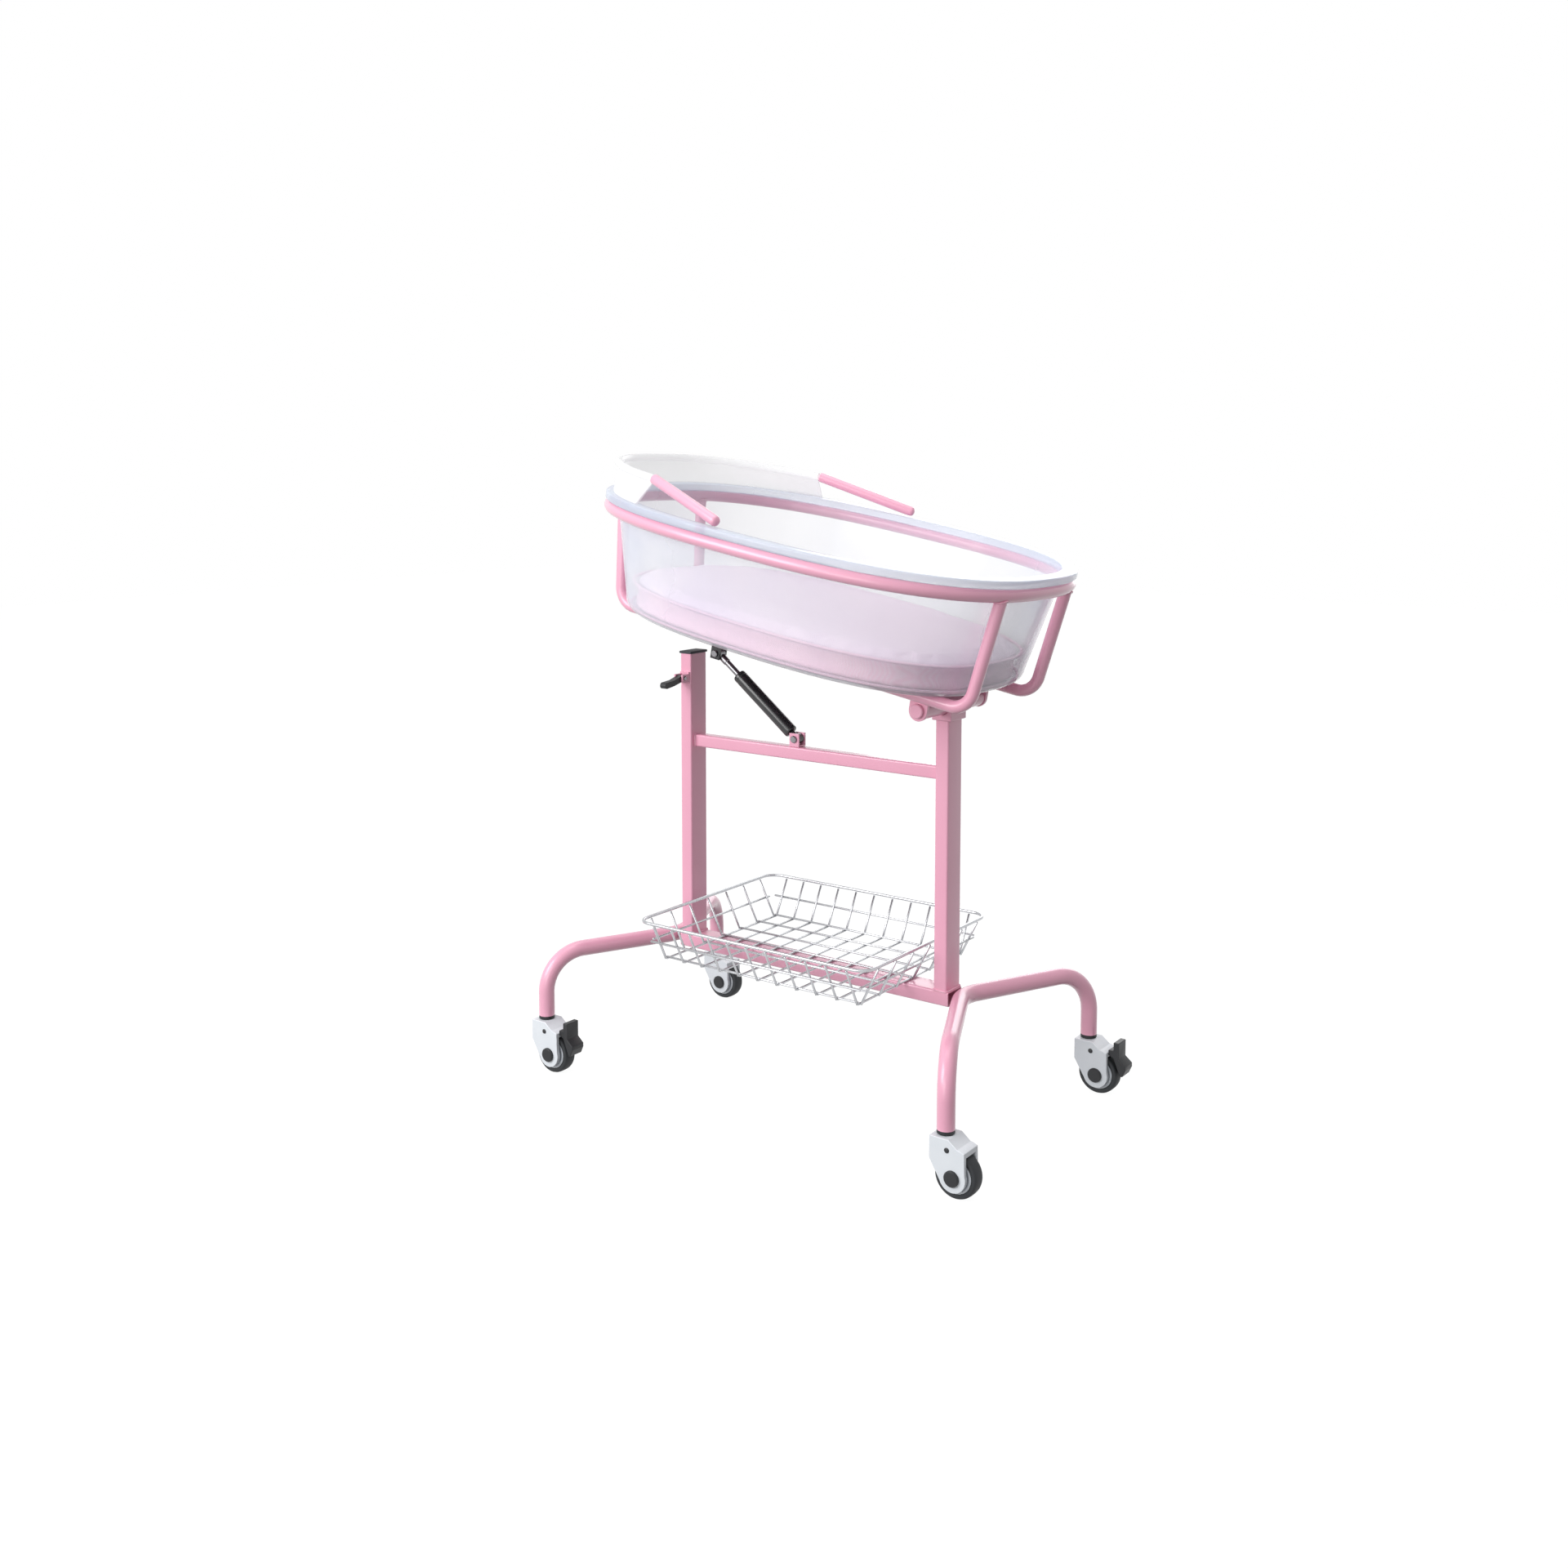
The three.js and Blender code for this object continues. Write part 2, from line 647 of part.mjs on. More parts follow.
const cornerSteps = 4;
const wallInside = wallOutside - basinWall;
const outsideRows = [
  [0, basinFloor, 0],
  ...cornerRows(basinCorner, wallLow, basinFloor, cornerSteps).reverse(),
  [wallOutside, lipUnder],
  [lipReach - lipRound, lipUnder],
  [lipReach, lipUnder + lipRound],
  [lipReach, lipTop - lipRound],
  [lipReach - lipRound, lipTop],
];
const insideRows = [
  [wallInside + lipRound, lipTop],
  [wallInside, lipTop - lipRound],
  ...cornerRows(basinCorner - basinWall, wallLow - basinWall, basinFloor + basinWall, cornerSteps),
  [0, basinFloor + basinWall, 0],
];
piece('basin', stackedOvals([...outsideRows, ...insideRows], basinSteps), clear(), bed);

// Mattress: a crowned oval cushion with drawn-in sides that lies on the basin's floor

const mattressFoot = basinFloor + basinWall + weldGap;
const mattressTop = mattressFoot + mattressThick;
const mattressSide = wallLow - basinCorner + 2 * mattressEdge - mattressGap;
const mattressMiddle = mattressFoot + mattressThick / 2;
const crownRows = [0.8, 0.55, 0.3].map((share) => {
  const rise = mattressCrown * (1 - share * share);
  return [mattressSide - mattressEdge, mattressTop + rise, share];
});
piece('mattress', stackedOvals([
  [0, mattressFoot, 0],
  [mattressSide - 2 * mattressEdge, mattressFoot],
  [mattressSide - mattressEdge / 2, mattressFoot + mattressEdge / 2],
  [mattressSide, mattressFoot + mattressEdge],
  [mattressSide - mattressWaist, mattressMiddle],
  [mattressSide, mattressTop - mattressEdge],
  [mattressSide - mattressEdge / 3, mattressTop - mattressEdge / 3],
  [mattressSide - mattressEdge, mattressTop],
  ...crownRows,
  [0, mattressTop + mattressCrown, 0],
], basinSteps), cloth(), bed);

// Head guard: a panel with a bead along its top, carried by two arms from the lip

const beadRadius = guardBead / 2;
const guardFoot = lipTop + weldGap;
const lipMiddle = (lipReach + wallInside) / 2;
const beadEnd = ovalAngle(-guardEnd, guardLength, guardWidth);
const beadPoint = (angle, offset) => ovalPoint(angle, offset, guardLength, guardWidth);

// The guard's section at an angle: the panel's foot, then around the bead, as points in space.
function guardSection(angle) {
  const half = guardThick / 2;
  const footAngle = Math.PI + (angle - Math.PI) * guardSkirt;
  const foot = [half, -half].map((offset) => {
    const [x, y] = ovalPoint(footAngle, lipMiddle - offset);
    return [x, y, guardFoot];
  });
  const seat = Math.acos(half / beadRadius);
  const bead = Array.from({ length: beadSteps + 1 }, (_, i) => {
    const turn = -seat + (i / beadSteps) * (Math.PI + 2 * seat);
    const [x, y] = beadPoint(angle, beadRadius * Math.cos(turn));
    return [x, y, guardTop + beadRadius * Math.sin(turn)];
  });
  return [...foot, ...bead];
}

// Sections side by side from one end of the guard to the other, each end closed at its panel's middle.
function guardShape() {
  const angles = Array.from({ length: guardSteps + 1 }, (_, i) =>
    THREE.MathUtils.lerp(beadEnd, 2 * Math.PI - beadEnd, i / guardSteps));
  const sections = angles.map(guardSection);
  const middleOf = (section) => {
    const [x, y, z] = [0, 1, 2].map((axis) => section.reduce((sum, p) => sum + p[axis], 0) / section.length);
    return section.map(() => [x, y, z]);
  };
  const rows = [middleOf(sections[0]), ...sections, middleOf(sections[guardSteps])];
  const around = sections[0].length;
  const grid = (u, v, target) => {
    const row = rows[Math.round(u * (rows.length - 1))];
    target.set(...row[Math.round(v * around) % around]);
  };
  return new ParametricGeometry(grid, rows.length - 1, around);
}

piece('head_guard', cut(guardShape()), clear(), bed);

function guardArm(side) {
  const armRadius = armDiameter / 2;
  const footAngle = ovalAngle(-armFoot, ringLength, ringWidth);
  const foot = ovalPoint(footAngle, lipMiddle);
  const head = beadPoint(beadEnd, 0);
  const from = new THREE.Vector3(foot[0], side * foot[1], guardFoot + armRadius);
  const to = new THREE.Vector3(head[0], side * head[1], guardTop);
  const along = to.clone().sub(from).normalize();
  to.addScaledVector(along, -beadRadius / 2);
  return swept(roundSection(armRadius, 0, cradleSides), new THREE.LineCurve3(from, to), 1);
}

piece('front_guard_arm', guardArm(-1), paint(), bed);
piece('back_guard_arm', guardArm(1), paint(), bed);

// Release lever on the left post's front face

const lever = new THREE.Group();
lever.position.set(-postX, -postWide / 2 - weldGap, leverHeight);
bassinet.add(lever);

const leverPinRadius = leverPinDiameter / 2;
const leverCheek = leverWidth / 2 + runningGap;
const leverCheekReach = leverStandoff + leverEye;
const barAlongX = (radius, length) => new THREE.CylinderGeometry(radius, radius, length, smallSides)
  .rotateZ(Math.PI / 2)
  .translate(0, -leverStandoff, 0);
const leverBase = box(2 * (leverCheek + cheekThick), bracketBase, 3 * leverEye, 0, -bracketBase / 2, 0);
const leverSide = (side) => box(
  cheekThick, leverCheekReach, 2 * leverEye, side * (leverCheek + cheekThick / 2), -leverCheekReach / 2, 0);
const leverPinSpan = 2 * (leverCheek + cheekThick);
piece('lever_bracket', cut(
  join(leverBase, leverSide(-1), leverSide(1)),
  barAlongX((leverPinRadius + weldGap) / Math.cos(Math.PI / smallSides), 2 * leverPinSpan)), paint(), lever);
piece('lever_pin', barAlongX(leverPinRadius, leverPinSpan + pinOverhang), steel(), lever);

// The lever's outline, X towards the front and Y up, with its eye at the origin.
const leverOutline = new THREE.Shape();
leverOutline.absarc(0, 0, leverEye - leverEyeTrim, Math.PI / 2, 1.5 * Math.PI, false);
leverOutline.lineTo(leverReach / 2, -leverDroop - leverGrip / 2);
leverOutline.lineTo(leverReach - leverGrip, -leverDroop - leverGrip);
leverOutline.absarc(leverReach - leverGrip, -leverDroop, leverGrip, -Math.PI / 2, Math.PI / 2, false);
leverOutline.lineTo(leverReach / 2, -leverDroop / 2 + leverGrip / 2);
leverOutline.lineTo(0, leverEye - leverEyeTrim);
const leverSolid = { depth: leverWidth, bevelEnabled: false, curveSegments: 8 };
const leverSlab = new THREE.ExtrudeGeometry(leverOutline, leverSolid)
  .translate(0, 0, -leverWidth / 2)
  .rotateX(Math.PI / 2)
  .rotateZ(-Math.PI / 2)
  .translate(0, -leverStandoff, 0);
const leverHole = barAlongX((leverPinRadius + runningGap) / Math.cos(Math.PI / smallSides), 2 * leverWidth);
piece('release_lever', cut(leverSlab, leverHole), black(), lever);

// Wire basket: a rim, a floor and four leaning sides, each a flat welded grille

// A square wire between two points.
function wireBetween(from, to, size = wire) {
  const way = to.clone().sub(from);
  const bar = new THREE.BoxGeometry(size, size, way.length());
  const turn = new THREE.Quaternion().setFromUnitVectors(new THREE.Vector3(0, 0, 1), way.clone().normalize());
  return bar.applyQuaternion(turn).translate(...from.clone().add(to).multiplyScalar(0.5).toArray());
}

const spread = (count, half) => Array.from({ length: count }, (_, i) => half * ((2 * i) / (count - 1) - 1));
const vector = (x, y, z) => new THREE.Vector3(x, y, z);
const rimX = basketLength / 2;
const rimY = basketWidth / 2;
const floorX = rimX - basketInset;
const floorY = rimY - basketInset;
const floorWire = beamTop + weldGap + wire / 2;
const layer = wire - wireLap;

const lengthwise = spread(wiresAcross, floorY).map((y) => wireBetween(
  vector(-floorX - wire / 2, y, floorWire + layer), vector(floorX + wire / 2, y, floorWire + layer)));
const crosswise = spread(wiresAlong, floorX).map((x) => wireBetween(
  vector(x, -floorY - wire / 2, floorWire), vector(x, floorY + wire / 2, floorWire)));
piece('basket_floor', join(...lengthwise, ...crosswise), steel());

function roundedRectangle(halfX, halfY, radius) {
  const outline = new THREE.Shape();
  outline.absarc(halfX - radius, halfY - radius, radius, 0, Math.PI / 2, false);
  outline.absarc(radius - halfX, halfY - radius, radius, Math.PI / 2, Math.PI, false);
  outline.absarc(radius - halfX, radius - halfY, radius, Math.PI, 1.5 * Math.PI, false);
  outline.absarc(halfX - radius, radius - halfY, radius, 1.5 * Math.PI, 2 * Math.PI, false);
  return outline;
}

const rimOutline = roundedRectangle(rimX + rimWire / 2, rimY + rimWire / 2, basketCorner + rimWire / 2);
rimOutline.holes.push(roundedRectangle(rimX - rimWire / 2, rimY - rimWire / 2, basketCorner - rimWire / 2));
const rimSolid = { depth: rimWire, bevelEnabled: false, curveSegments: 6 };
piece('basket_rim', new THREE.ExtrudeGeometry(rimOutline, rimSolid)
  .translate(0, 0, basketRim - rimWire / 2), steel());

// A side whose uprights stand at the given places; its run is along X before it is turned into place.
function basketSide(places, floorHalf, rimHalf, beltHalf) {
  const foot = (place) => vector(place, floorHalf + wire + weldGap, floorWire);
  const sink = (wire / 2) * (basketInset / (basketRim - floorWire));
  const head = (place) => vector(place, rimHalf, basketRim - rimWire / 2 - weldGap - sink);
  const uprights = places.map((place) => wireBetween(foot(place), head(place)));
  const belt = foot(0).lerp(head(0), 0.5).add(vector(0, layer, 0));
  return join(...uprights, wireBetween(vector(-beltHalf, belt.y, belt.z), vector(beltHalf, belt.y, belt.z)));
}

const beltInset = basketInset / 2;
const longSide = () => basketSide(spread(wiresAlong, floorX), floorY, rimY, rimX - beltInset);
const shortSide = () => basketSide(
  spread(wiresAcross, floorY), floorX, rimX, rimY - beltInset - wire - layer);
piece('basket_back', longSide(), steel());
piece('basket_front', longSide().rotateZ(Math.PI), steel());
piece('basket_left', shortSide().rotateZ(Math.PI / 2), steel());
piece('basket_right', shortSide().rotateZ(-Math.PI / 2), steel());

// Casters: a stem in the leg, a hood that swivels on it, a wheel and a tyre on an axle

const hoodWidth = treadWidth + 2 * (hoodSideGap + hoodPlate);
const hoodTop = casterHeight - weldGap - collarThick - runningGap;
const hoodRadius = wheelRadius + hoodClearance + hoodWall;
const stemRadius = stemDiameter / 2;
const axleRadius = axleDiameter / 2;

function stem() {
  const collarFoot = casterHeight - weldGap - collarThick;
  const plugRadius = legBore * Math.cos(Math.PI / legSides) - weldGap;
  return turned([
    [0, collarFoot - stemDepth], [stemRadius, collarFoot - stemDepth], [stemRadius, collarFoot],
    [collarDiameter / 2, collarFoot], [collarDiameter / 2, collarFoot + collarThick],
    [plugRadius, collarFoot + collarThick],
    [plugRadius, casterHeight + stemPlug],
    [0, casterHeight + stemPlug],
  ], smallSides);
}

const aboutAxle = (radius, degrees) => [
  casterTrail + radius * Math.cos(radians(degrees)),
  axleHeight + radius * Math.sin(radians(degrees)),
];

// Degrees about the axle: the hood's roof and the round end of its side plates.
const roofStart = 80;
const roofEnd = 64;
const plateEnd = 20;
const plateStart = 200;

function hood() {
  const outline = new THREE.Shape();
  outline.moveTo(-hoodFront, hoodTop);
  outline.lineTo(-hoodFront, axleHeight + hoodPlateRadius);
  outline.lineTo(...aboutAxle(hoodPlateRadius, plateStart));
  outline.absarc(
    casterTrail, axleHeight, hoodPlateRadius, radians(plateStart), radians(360 + plateEnd), false);
  outline.absarc(casterTrail, axleHeight, hoodRadius, radians(roofEnd), radians(roofStart), false);
  outline.lineTo(hoodNeck, hoodTop);
  const slotWidth = treadWidth + 2 * hoodSideGap;
  const slot = barAlongY(wheelRadius + hoodClearance, slotWidth, casterTrail, axleHeight, wheelSides);
  const boreRadius = (axleRadius + weldGap) / Math.cos(Math.PI / smallSides);
  const axleBore = barAlongY(boreRadius, 2 * hoodWidth, casterTrail, axleHeight);
  const stemBore = turned([
    [0, hoodTop - stemDepth], [boreFor(stemRadius, smallSides), hoodTop - stemDepth],
    [boreFor(stemRadius, smallSides), hoodTop + collarThick], [0, hoodTop + collarThick],
  ], smallSides);
  return cut(plateInXZ(outline, hoodWidth), slot, axleBore, stemBore);
}

function wheelCore() {
  const half = treadWidth / 2 - 1;
  return tubeAlongY(wheelRadius - tyreDepth - weldGap, boreFor(axleRadius, wheelSides), 2 * half, wheelSides);
}

function tyre() {
  const inside = wheelRadius - tyreDepth;
  const half = treadWidth / 2;
  const shoulder = wheelRadius - tyreDepth / 2;
  return turnedWheel([
    [inside, -half + 1], [shoulder, -half], [wheelRadius, -treadFlat / 2],
    [wheelRadius, treadFlat / 2], [shoulder, half], [inside, half - 1], [inside, -half + 1],
  ], wheelSides);
}

// The pedal's outline, from the axle: an arm to the hood, the upright plate, the foot and the heel.
function pedal() {
  const armEnd = hoodRadius * Math.cos(radians(roofEnd)) + pedalGap;
  const outline = new THREE.Shape([
    [armEnd, pedalPivot - pedalArm / 2],
    [pedalBack, pedalKnee],
    [pedalHeelBack, pedalHeel],
    [pedalHeelBack + pedalHeelThick, pedalHeel],
    [pedalFoot, pedalFootTop - pedalFootThick],
    [pedalFoot, pedalFootTop],
    [pedalBack + pedalThick, pedalKnee],
    [pedalBack + pedalThick, pedalTop],
    [pedalBack, pedalTop],
    [pedalBack, pedalPivot + pedalArm / 2],
    [armEnd, pedalPivot + pedalArm / 2],
  ].map(([x, z]) => new THREE.Vector2(x, z)));
  return plateInXZ(outline, pedalWidth).translate(casterTrail, 0, axleHeight);
}

const feet = [['front_left', -1, -1], ['front_right', 1, -1], ['back_left', -1, 1], ['back_right', 1, 1]];
const braked = ['front_left', 'back_right'];
for (const [place, sideX, sideY] of feet) {
  const caster = new THREE.Group();
  caster.position.set((sideX * footSpanX) / 2, (sideY * footSpanY) / 2, 0);
  bassinet.add(caster);
  piece(`${place}_caster_stem`, stem(), black(), caster);
  piece(`${place}_caster_hood`, hood(), white(), caster);
  const onAxle = (geometry) => geometry.translate(casterTrail, 0, axleHeight);
  const axlePin = headedPin(axleRadius, hubCapDiameter / 2, hubCapThick, hoodWidth);
  piece(`${place}_axle`, onAxle(axlePin), black(), caster);
  piece(`${place}_wheel`, onAxle(wheelCore()), white(), caster);
  piece(`${place}_tyre`, onAxle(tyre()), rubber(), caster);
  if (braked.includes(place)) piece(`${place}_brake_pedal`, pedal(), black(), caster);
}

// The origin is on the floor, in the middle of the outline.
const outline = new THREE.Box3().setFromObject(bassinet, true);
const middle = outline.getCenter(new THREE.Vector3());
bassinet.position.set(-middle.x, -middle.y, -outline.min.z);

export default bassinet;
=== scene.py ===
import bmesh
import bpy
import numpy as np
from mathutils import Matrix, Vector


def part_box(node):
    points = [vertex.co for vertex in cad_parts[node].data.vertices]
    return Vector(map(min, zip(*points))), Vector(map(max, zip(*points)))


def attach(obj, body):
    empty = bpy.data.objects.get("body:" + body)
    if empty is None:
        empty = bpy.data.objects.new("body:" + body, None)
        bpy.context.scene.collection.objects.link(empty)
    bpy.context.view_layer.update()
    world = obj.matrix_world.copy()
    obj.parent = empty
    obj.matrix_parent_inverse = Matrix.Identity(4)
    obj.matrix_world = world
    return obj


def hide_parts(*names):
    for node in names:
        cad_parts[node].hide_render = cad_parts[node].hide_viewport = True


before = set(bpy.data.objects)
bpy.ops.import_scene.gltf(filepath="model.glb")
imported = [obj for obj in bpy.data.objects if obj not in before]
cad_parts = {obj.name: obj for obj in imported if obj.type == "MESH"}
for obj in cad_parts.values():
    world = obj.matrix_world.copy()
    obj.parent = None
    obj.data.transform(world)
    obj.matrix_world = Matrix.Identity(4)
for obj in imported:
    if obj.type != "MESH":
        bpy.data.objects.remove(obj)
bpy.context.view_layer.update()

# Leg bows
# At each end of the trolley one steel tube runs from the front foot up, along to the beam's end
# and down to the back foot. It is bent cold, welded to the beam and powder coated pink.
mm = 0.001
middle_x = (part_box("left_post")[0].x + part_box("right_post")[1].x) / 2 / mm
leg_radius, foot_bend, apex_bend = 12.5, 62, 60
foot_x, foot_y, foot_z = 367, 217, 88
bow_z, bow_apex = 187, 265


def unit(vectors):
    """Each vector divided by its length."""
    return vectors / np.linalg.norm(vectors, axis=-1, keepdims=True)


def bent(corners, radii, fineness=12):
    """Points along straight runs whose inner corners are rounded: each corner is swapped for an arc
    that starts at radius times tan(half the turn) before it."""
    corners = np.array(corners, float)
    parts = [corners[:1]]
    for corner, before, after, radius in zip(corners[1:-1], corners[:-2], corners[2:], radii):
        come, go = unit(corner - before), unit(after - corner)
        turn = np.arccos(np.clip(come @ go, -1, 1))
        side = unit(go - come * np.cos(turn))
        angle = np.linspace(0, turn, fineness)[:, None]
        start = corner - come * radius * np.tan(turn / 2)
        parts.append(start + radius * (come * np.sin(angle) + side * (1 - np.cos(angle))))
    parts.append(corners[-1:])
    return np.concatenate(parts)


def around(sides):
    """Cosine and sine of equal steps round a circle, as two columns to carry along a path."""
    angle = np.linspace(0, 2 * np.pi, sides, endpoint=False)
    return np.cos(angle), np.sin(angle)


def tube(path, radius, reference, sides=28, closed=False):
    """A circle of the given radius, or one radius for each point, carried along a path. Its plane is
    square to the path, and its first axis is square to the reference direction too."""
    path = np.asarray(path, float)
    ahead = np.roll(path, -1, 0) - np.roll(path, 1, 0) if closed else np.gradient(path, axis=0)
    ahead = unit(ahead)
    across = unit(np.cross(ahead, np.broadcast_to(reference, path.shape)))
    rise = np.cross(across, ahead)
    cos, sin = around(sides)
    radius = np.broadcast_to(radius, len(path))[:, None, None]
    circle = cos[None, :, None] * across[:, None] + sin[None, :, None] * rise[:, None]
    return path[:, None] + radius * circle


def skin(name, grid, wrap_rows=False, wrap_columns=True, cap=False, sharp=35):
    """A mesh from a grid of points in millimetres: rows and columns are joined by four-sided faces,
    wrapped round where told, with the first and last rows filled when cap is set."""
    rows, columns = grid.shape[:2]
    index = np.arange(rows * columns).reshape(rows, columns)
    low = index if wrap_rows else index[:-1]
    high = np.roll(index, -1, 0) if wrap_rows else index[1:]
    beside = (lambda block: np.roll(block, -1, 1)) if wrap_columns else (lambda block: block[:, 1:])
    here = (lambda block: block) if wrap_columns else (lambda block: block[:, :-1])
    faces = np.stack([here(low), beside(low), beside(high), here(high)], -1).reshape(-1, 4)
    ends = [index[0, ::-1].tolist(), index[-1].tolist()] if cap else []
    return mesh_piece(name, grid.reshape(-1, 3), faces.tolist() + ends, sharp)


def mesh_piece(name, points, faces, sharp=35):
    """An object from points in millimetres and faces, with doubles merged and faces turned outwards."""
    mesh = bpy.data.meshes.new(name)
    mesh.from_pydata((np.asarray(points) * mm).tolist(), [], faces)
    shape = bmesh.new()
    shape.from_mesh(mesh)
    bmesh.ops.remove_doubles(shape, verts=shape.verts, dist=1e-6)
    bmesh.ops.recalc_face_normals(shape, faces=shape.faces)
    shape.to_mesh(mesh)
    shape.free()
    return smooth_object(name, mesh, sharp)


def smooth_object(name, mesh, sharp=35):
    """A smooth shaded object in the scene, with the edges that turn by more than an angle left hard."""
    mesh.shade_smooth()
    mesh.set_sharp_from_angle(angle=np.radians(sharp))
    piece = bpy.data.objects.new(name, mesh)
    bpy.context.scene.collection.objects.link(piece)
    return piece


class Field:
    """One value or colour inside a finish. Adding to it or multiplying it adds Math nodes."""

    def __init__(self, finish, socket):
        self.finish = finish
        self.socket = socket

    def maths(self, operation, first, second):
        """A Math node on two values, in their order."""
        return self.finish.node("ShaderNodeMath", {"operation": operation}, {0: first, 1: second})

    def __add__(self, other):
        return self.maths("ADD", self, other)

    def __mul__(self, other):
        return self.maths("MULTIPLY", self, other)

    def __radd__(self, other):
        return self.maths("ADD", other, self)

    def __rmul__(self, other):
        return self.maths("MULTIPLY", other, self)


class Finish:
    """A material that is built up from nodes round one Principled shader."""

    def __init__(self, name):
        self.material = bpy.data.materials.new(name)
        self.material.use_nodes = True
        self.tree = self.material.node_tree
        self.shader = self.tree.nodes["Principled BSDF"]
        self.place = self.node("ShaderNodeTexCoord", output="Object")

    def plug(self, socket, value):
        """Links a field to a socket, or writes a plain value on it."""
        if isinstance(value, Field):
            self.tree.links.new(value.socket, socket)
        else:
            socket.default_value = value

    def node(self, kind, settings=None, sockets=None, output=0):
        """Adds a node: its settings first, then the values or links of its sockets."""
        added = self.tree.nodes.new(kind)
        for key, value in (settings or {}).items():
            setattr(added, key, value)
        for key, value in (sockets or {}).items():
            self.plug(added.inputs[key], value)
        return Field(self, added.outputs[output])

    def set(self, **sockets):
        """Fills the shader's own sockets, named with _ for a space."""
        for key, value in sockets.items():
            self.plug(self.shader.inputs[key.replace("_", " ")], value)

    def noise(self, scale, detail=2.0, roughness=0.5, vector=None):
        """Cloudy values of 0 to 1, with a scale in clouds per metre."""
        sockets = {"Vector": vector or self.place, "Scale": scale, "Detail": detail, "Roughness": roughness}
        return self.node("ShaderNodeTexNoise", None, sockets)

    def mix(self, factor, first, second):
        """The first colour at factor 0 and the second at 1."""
        return self.node("ShaderNodeMix", {"data_type": "RGBA"}, {0: factor, 6: first, 7: second}, 2)

    def step(self, value, start, end, low=0.0, high=1.0):
        """A smooth change from low to high as the value goes from start to end."""
        sockets = {"Value": value, "From Min": start, "From Max": end, "To Min": low, "To Max": high}
        return self.node("ShaderNodeMapRange", {"interpolation_type": "SMOOTHSTEP"}, sockets)

    def bump(self, height, strength, distance):
        """Dents and lifts the shading by a height, times a distance in metres."""
        self.set(Normal=self.node("ShaderNodeBump", None, {
            "Height": height, "Strength": strength, "Distance": distance}))


def shade(red, green, blue):
    """A colour written in screen values of 0 to 255, as linear light."""
    screen = np.array([red, green, blue]) / 255
    linear = np.where(screen <= 0.04045, screen / 12.92, ((screen + 0.055) / 1.055) ** 2.4)
    return (*linear.tolist(), 1.0)


def pink_powder_coat():
    """Satin powder coat: the pink drifts a little, and its skin has a fine orange peel."""
    finish = Finish("pink_powder_coat")
    drift = finish.noise(7.0, 3.0)
    peel = finish.noise(650.0, 2.0)
    speck = finish.step(finish.noise(1400.0, 1.0), 0.62, 0.75)
    rim = finish.node("ShaderNodeLayerWeight", None, {"Blend": 0.3}, "Facing")
    tint = finish.mix(drift, shade(241, 175, 199), shade(233, 163, 188))
    finish.set(Base_Color=finish.mix(speck * 0.25, tint, shade(250, 214, 228)),
               Roughness=0.30 + drift * 0.12, Coat_Weight=0.45 + peel * 0.15 + rim * 0.4, Coat_Roughness=0.2)
    finish.bump(peel, 0.06, 0.0005)
    return finish.material


pink = pink_powder_coat()


def place(piece, body, slot, material, *nodes):
    """Gives a piece its finish, its body and the nodes that it stands for."""
    piece.data.materials.append(material)
    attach(piece, body)
    if nodes:
        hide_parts(*nodes)


def painted(piece, body, *nodes):
    """Gives a bent or welded steel piece its pink coat."""
    place(piece, body, "pink_paint", pink, *nodes)


def at_trolley(points):
    """Moves points from the trolley's own middle to the model's origin."""
    return np.asarray(points, float) + (middle_x, 0, 0)


for side, node in ((-1, "left_leg_bow"), (1, "right_leg_bow")):
    end_x = side * foot_x
    run = bent([(end_x, -foot_y, foot_z), (end_x, -foot_y, bow_z), (side * bow_apex, 0, bow_z),
                (end_x, foot_y, bow_z), (end_x, foot_y, foot_z)], (foot_bend, apex_bend, foot_bend), 22)
    painted(skin(node + "_tube", tube(at_trolley(run), leg_radius, (1, 0, 0), 36), cap=True), "trolley", node)

# Beam, posts and crossbar
# Welded rectangular steel tube with rounded edges: the beam lies between the bows, two posts stand on it
# and the crossbar ties the posts. A weld bead runs round each foot.
edge_radius = 3.0
touch_gap = 0.3
beam_wide, beam_tall, beam_top = 40, 22, 194
beam_z, beam_end = beam_top - beam_tall / 2, bow_apex - leg_radius + 1
post_x, post_thick, post_wide, left_top, right_top = 240, 22, 40, 657, 594
bar_size, bar_z, bar_end = 20, 515, post_x - post_thick / 2 - touch_gap
along, across, up = (1, 0, 0), (0, 1, 0), (0, 0, 1)


def rounded_outline(width, height, radius, fineness=7):
    """The corners of a rounded rectangle: a quarter circle about each of its four corner centres."""
    angle = np.linspace(0, np.pi / 2, fineness)
    turn = (angle[None] + np.arange(4)[:, None] * np.pi / 2).ravel()
    signs = np.repeat([(1, 1), (-1, 1), (-1, -1), (1, -1)], fineness, axis=0)
    centres = signs * (width / 2 - radius, height / 2 - radius)
    return centres + radius * np.stack([np.cos(turn), np.sin(turn)], -1)


def box_tube(width, height, start, end, sideways, upwards, wall=2.0):
    """A rounded rectangle carried straight from start to end, outside there and inside back again."""
    outer = rounded_outline(width, height, edge_radius)
    inner = rounded_outline(width - 2 * wall, height - 2 * wall, edge_radius - wall + 0.2)
    rows = []
    for outline, point in ((outer, start), (outer, end), (inner, end), (inner, start)):
        flat = outline[:, :1] * np.array(sideways) + outline[:, 1:] * np.array(upwards)
        rows.append(np.asarray(point) + flat)
    return at_trolley(np.array(rows))


def post_tube(x, top):
    """A post that stands on the beam at an X, up to its top."""
    return box_tube(post_thick, post_wide, (x, 0, beam_top + touch_gap), (x, 0, top), along, across)


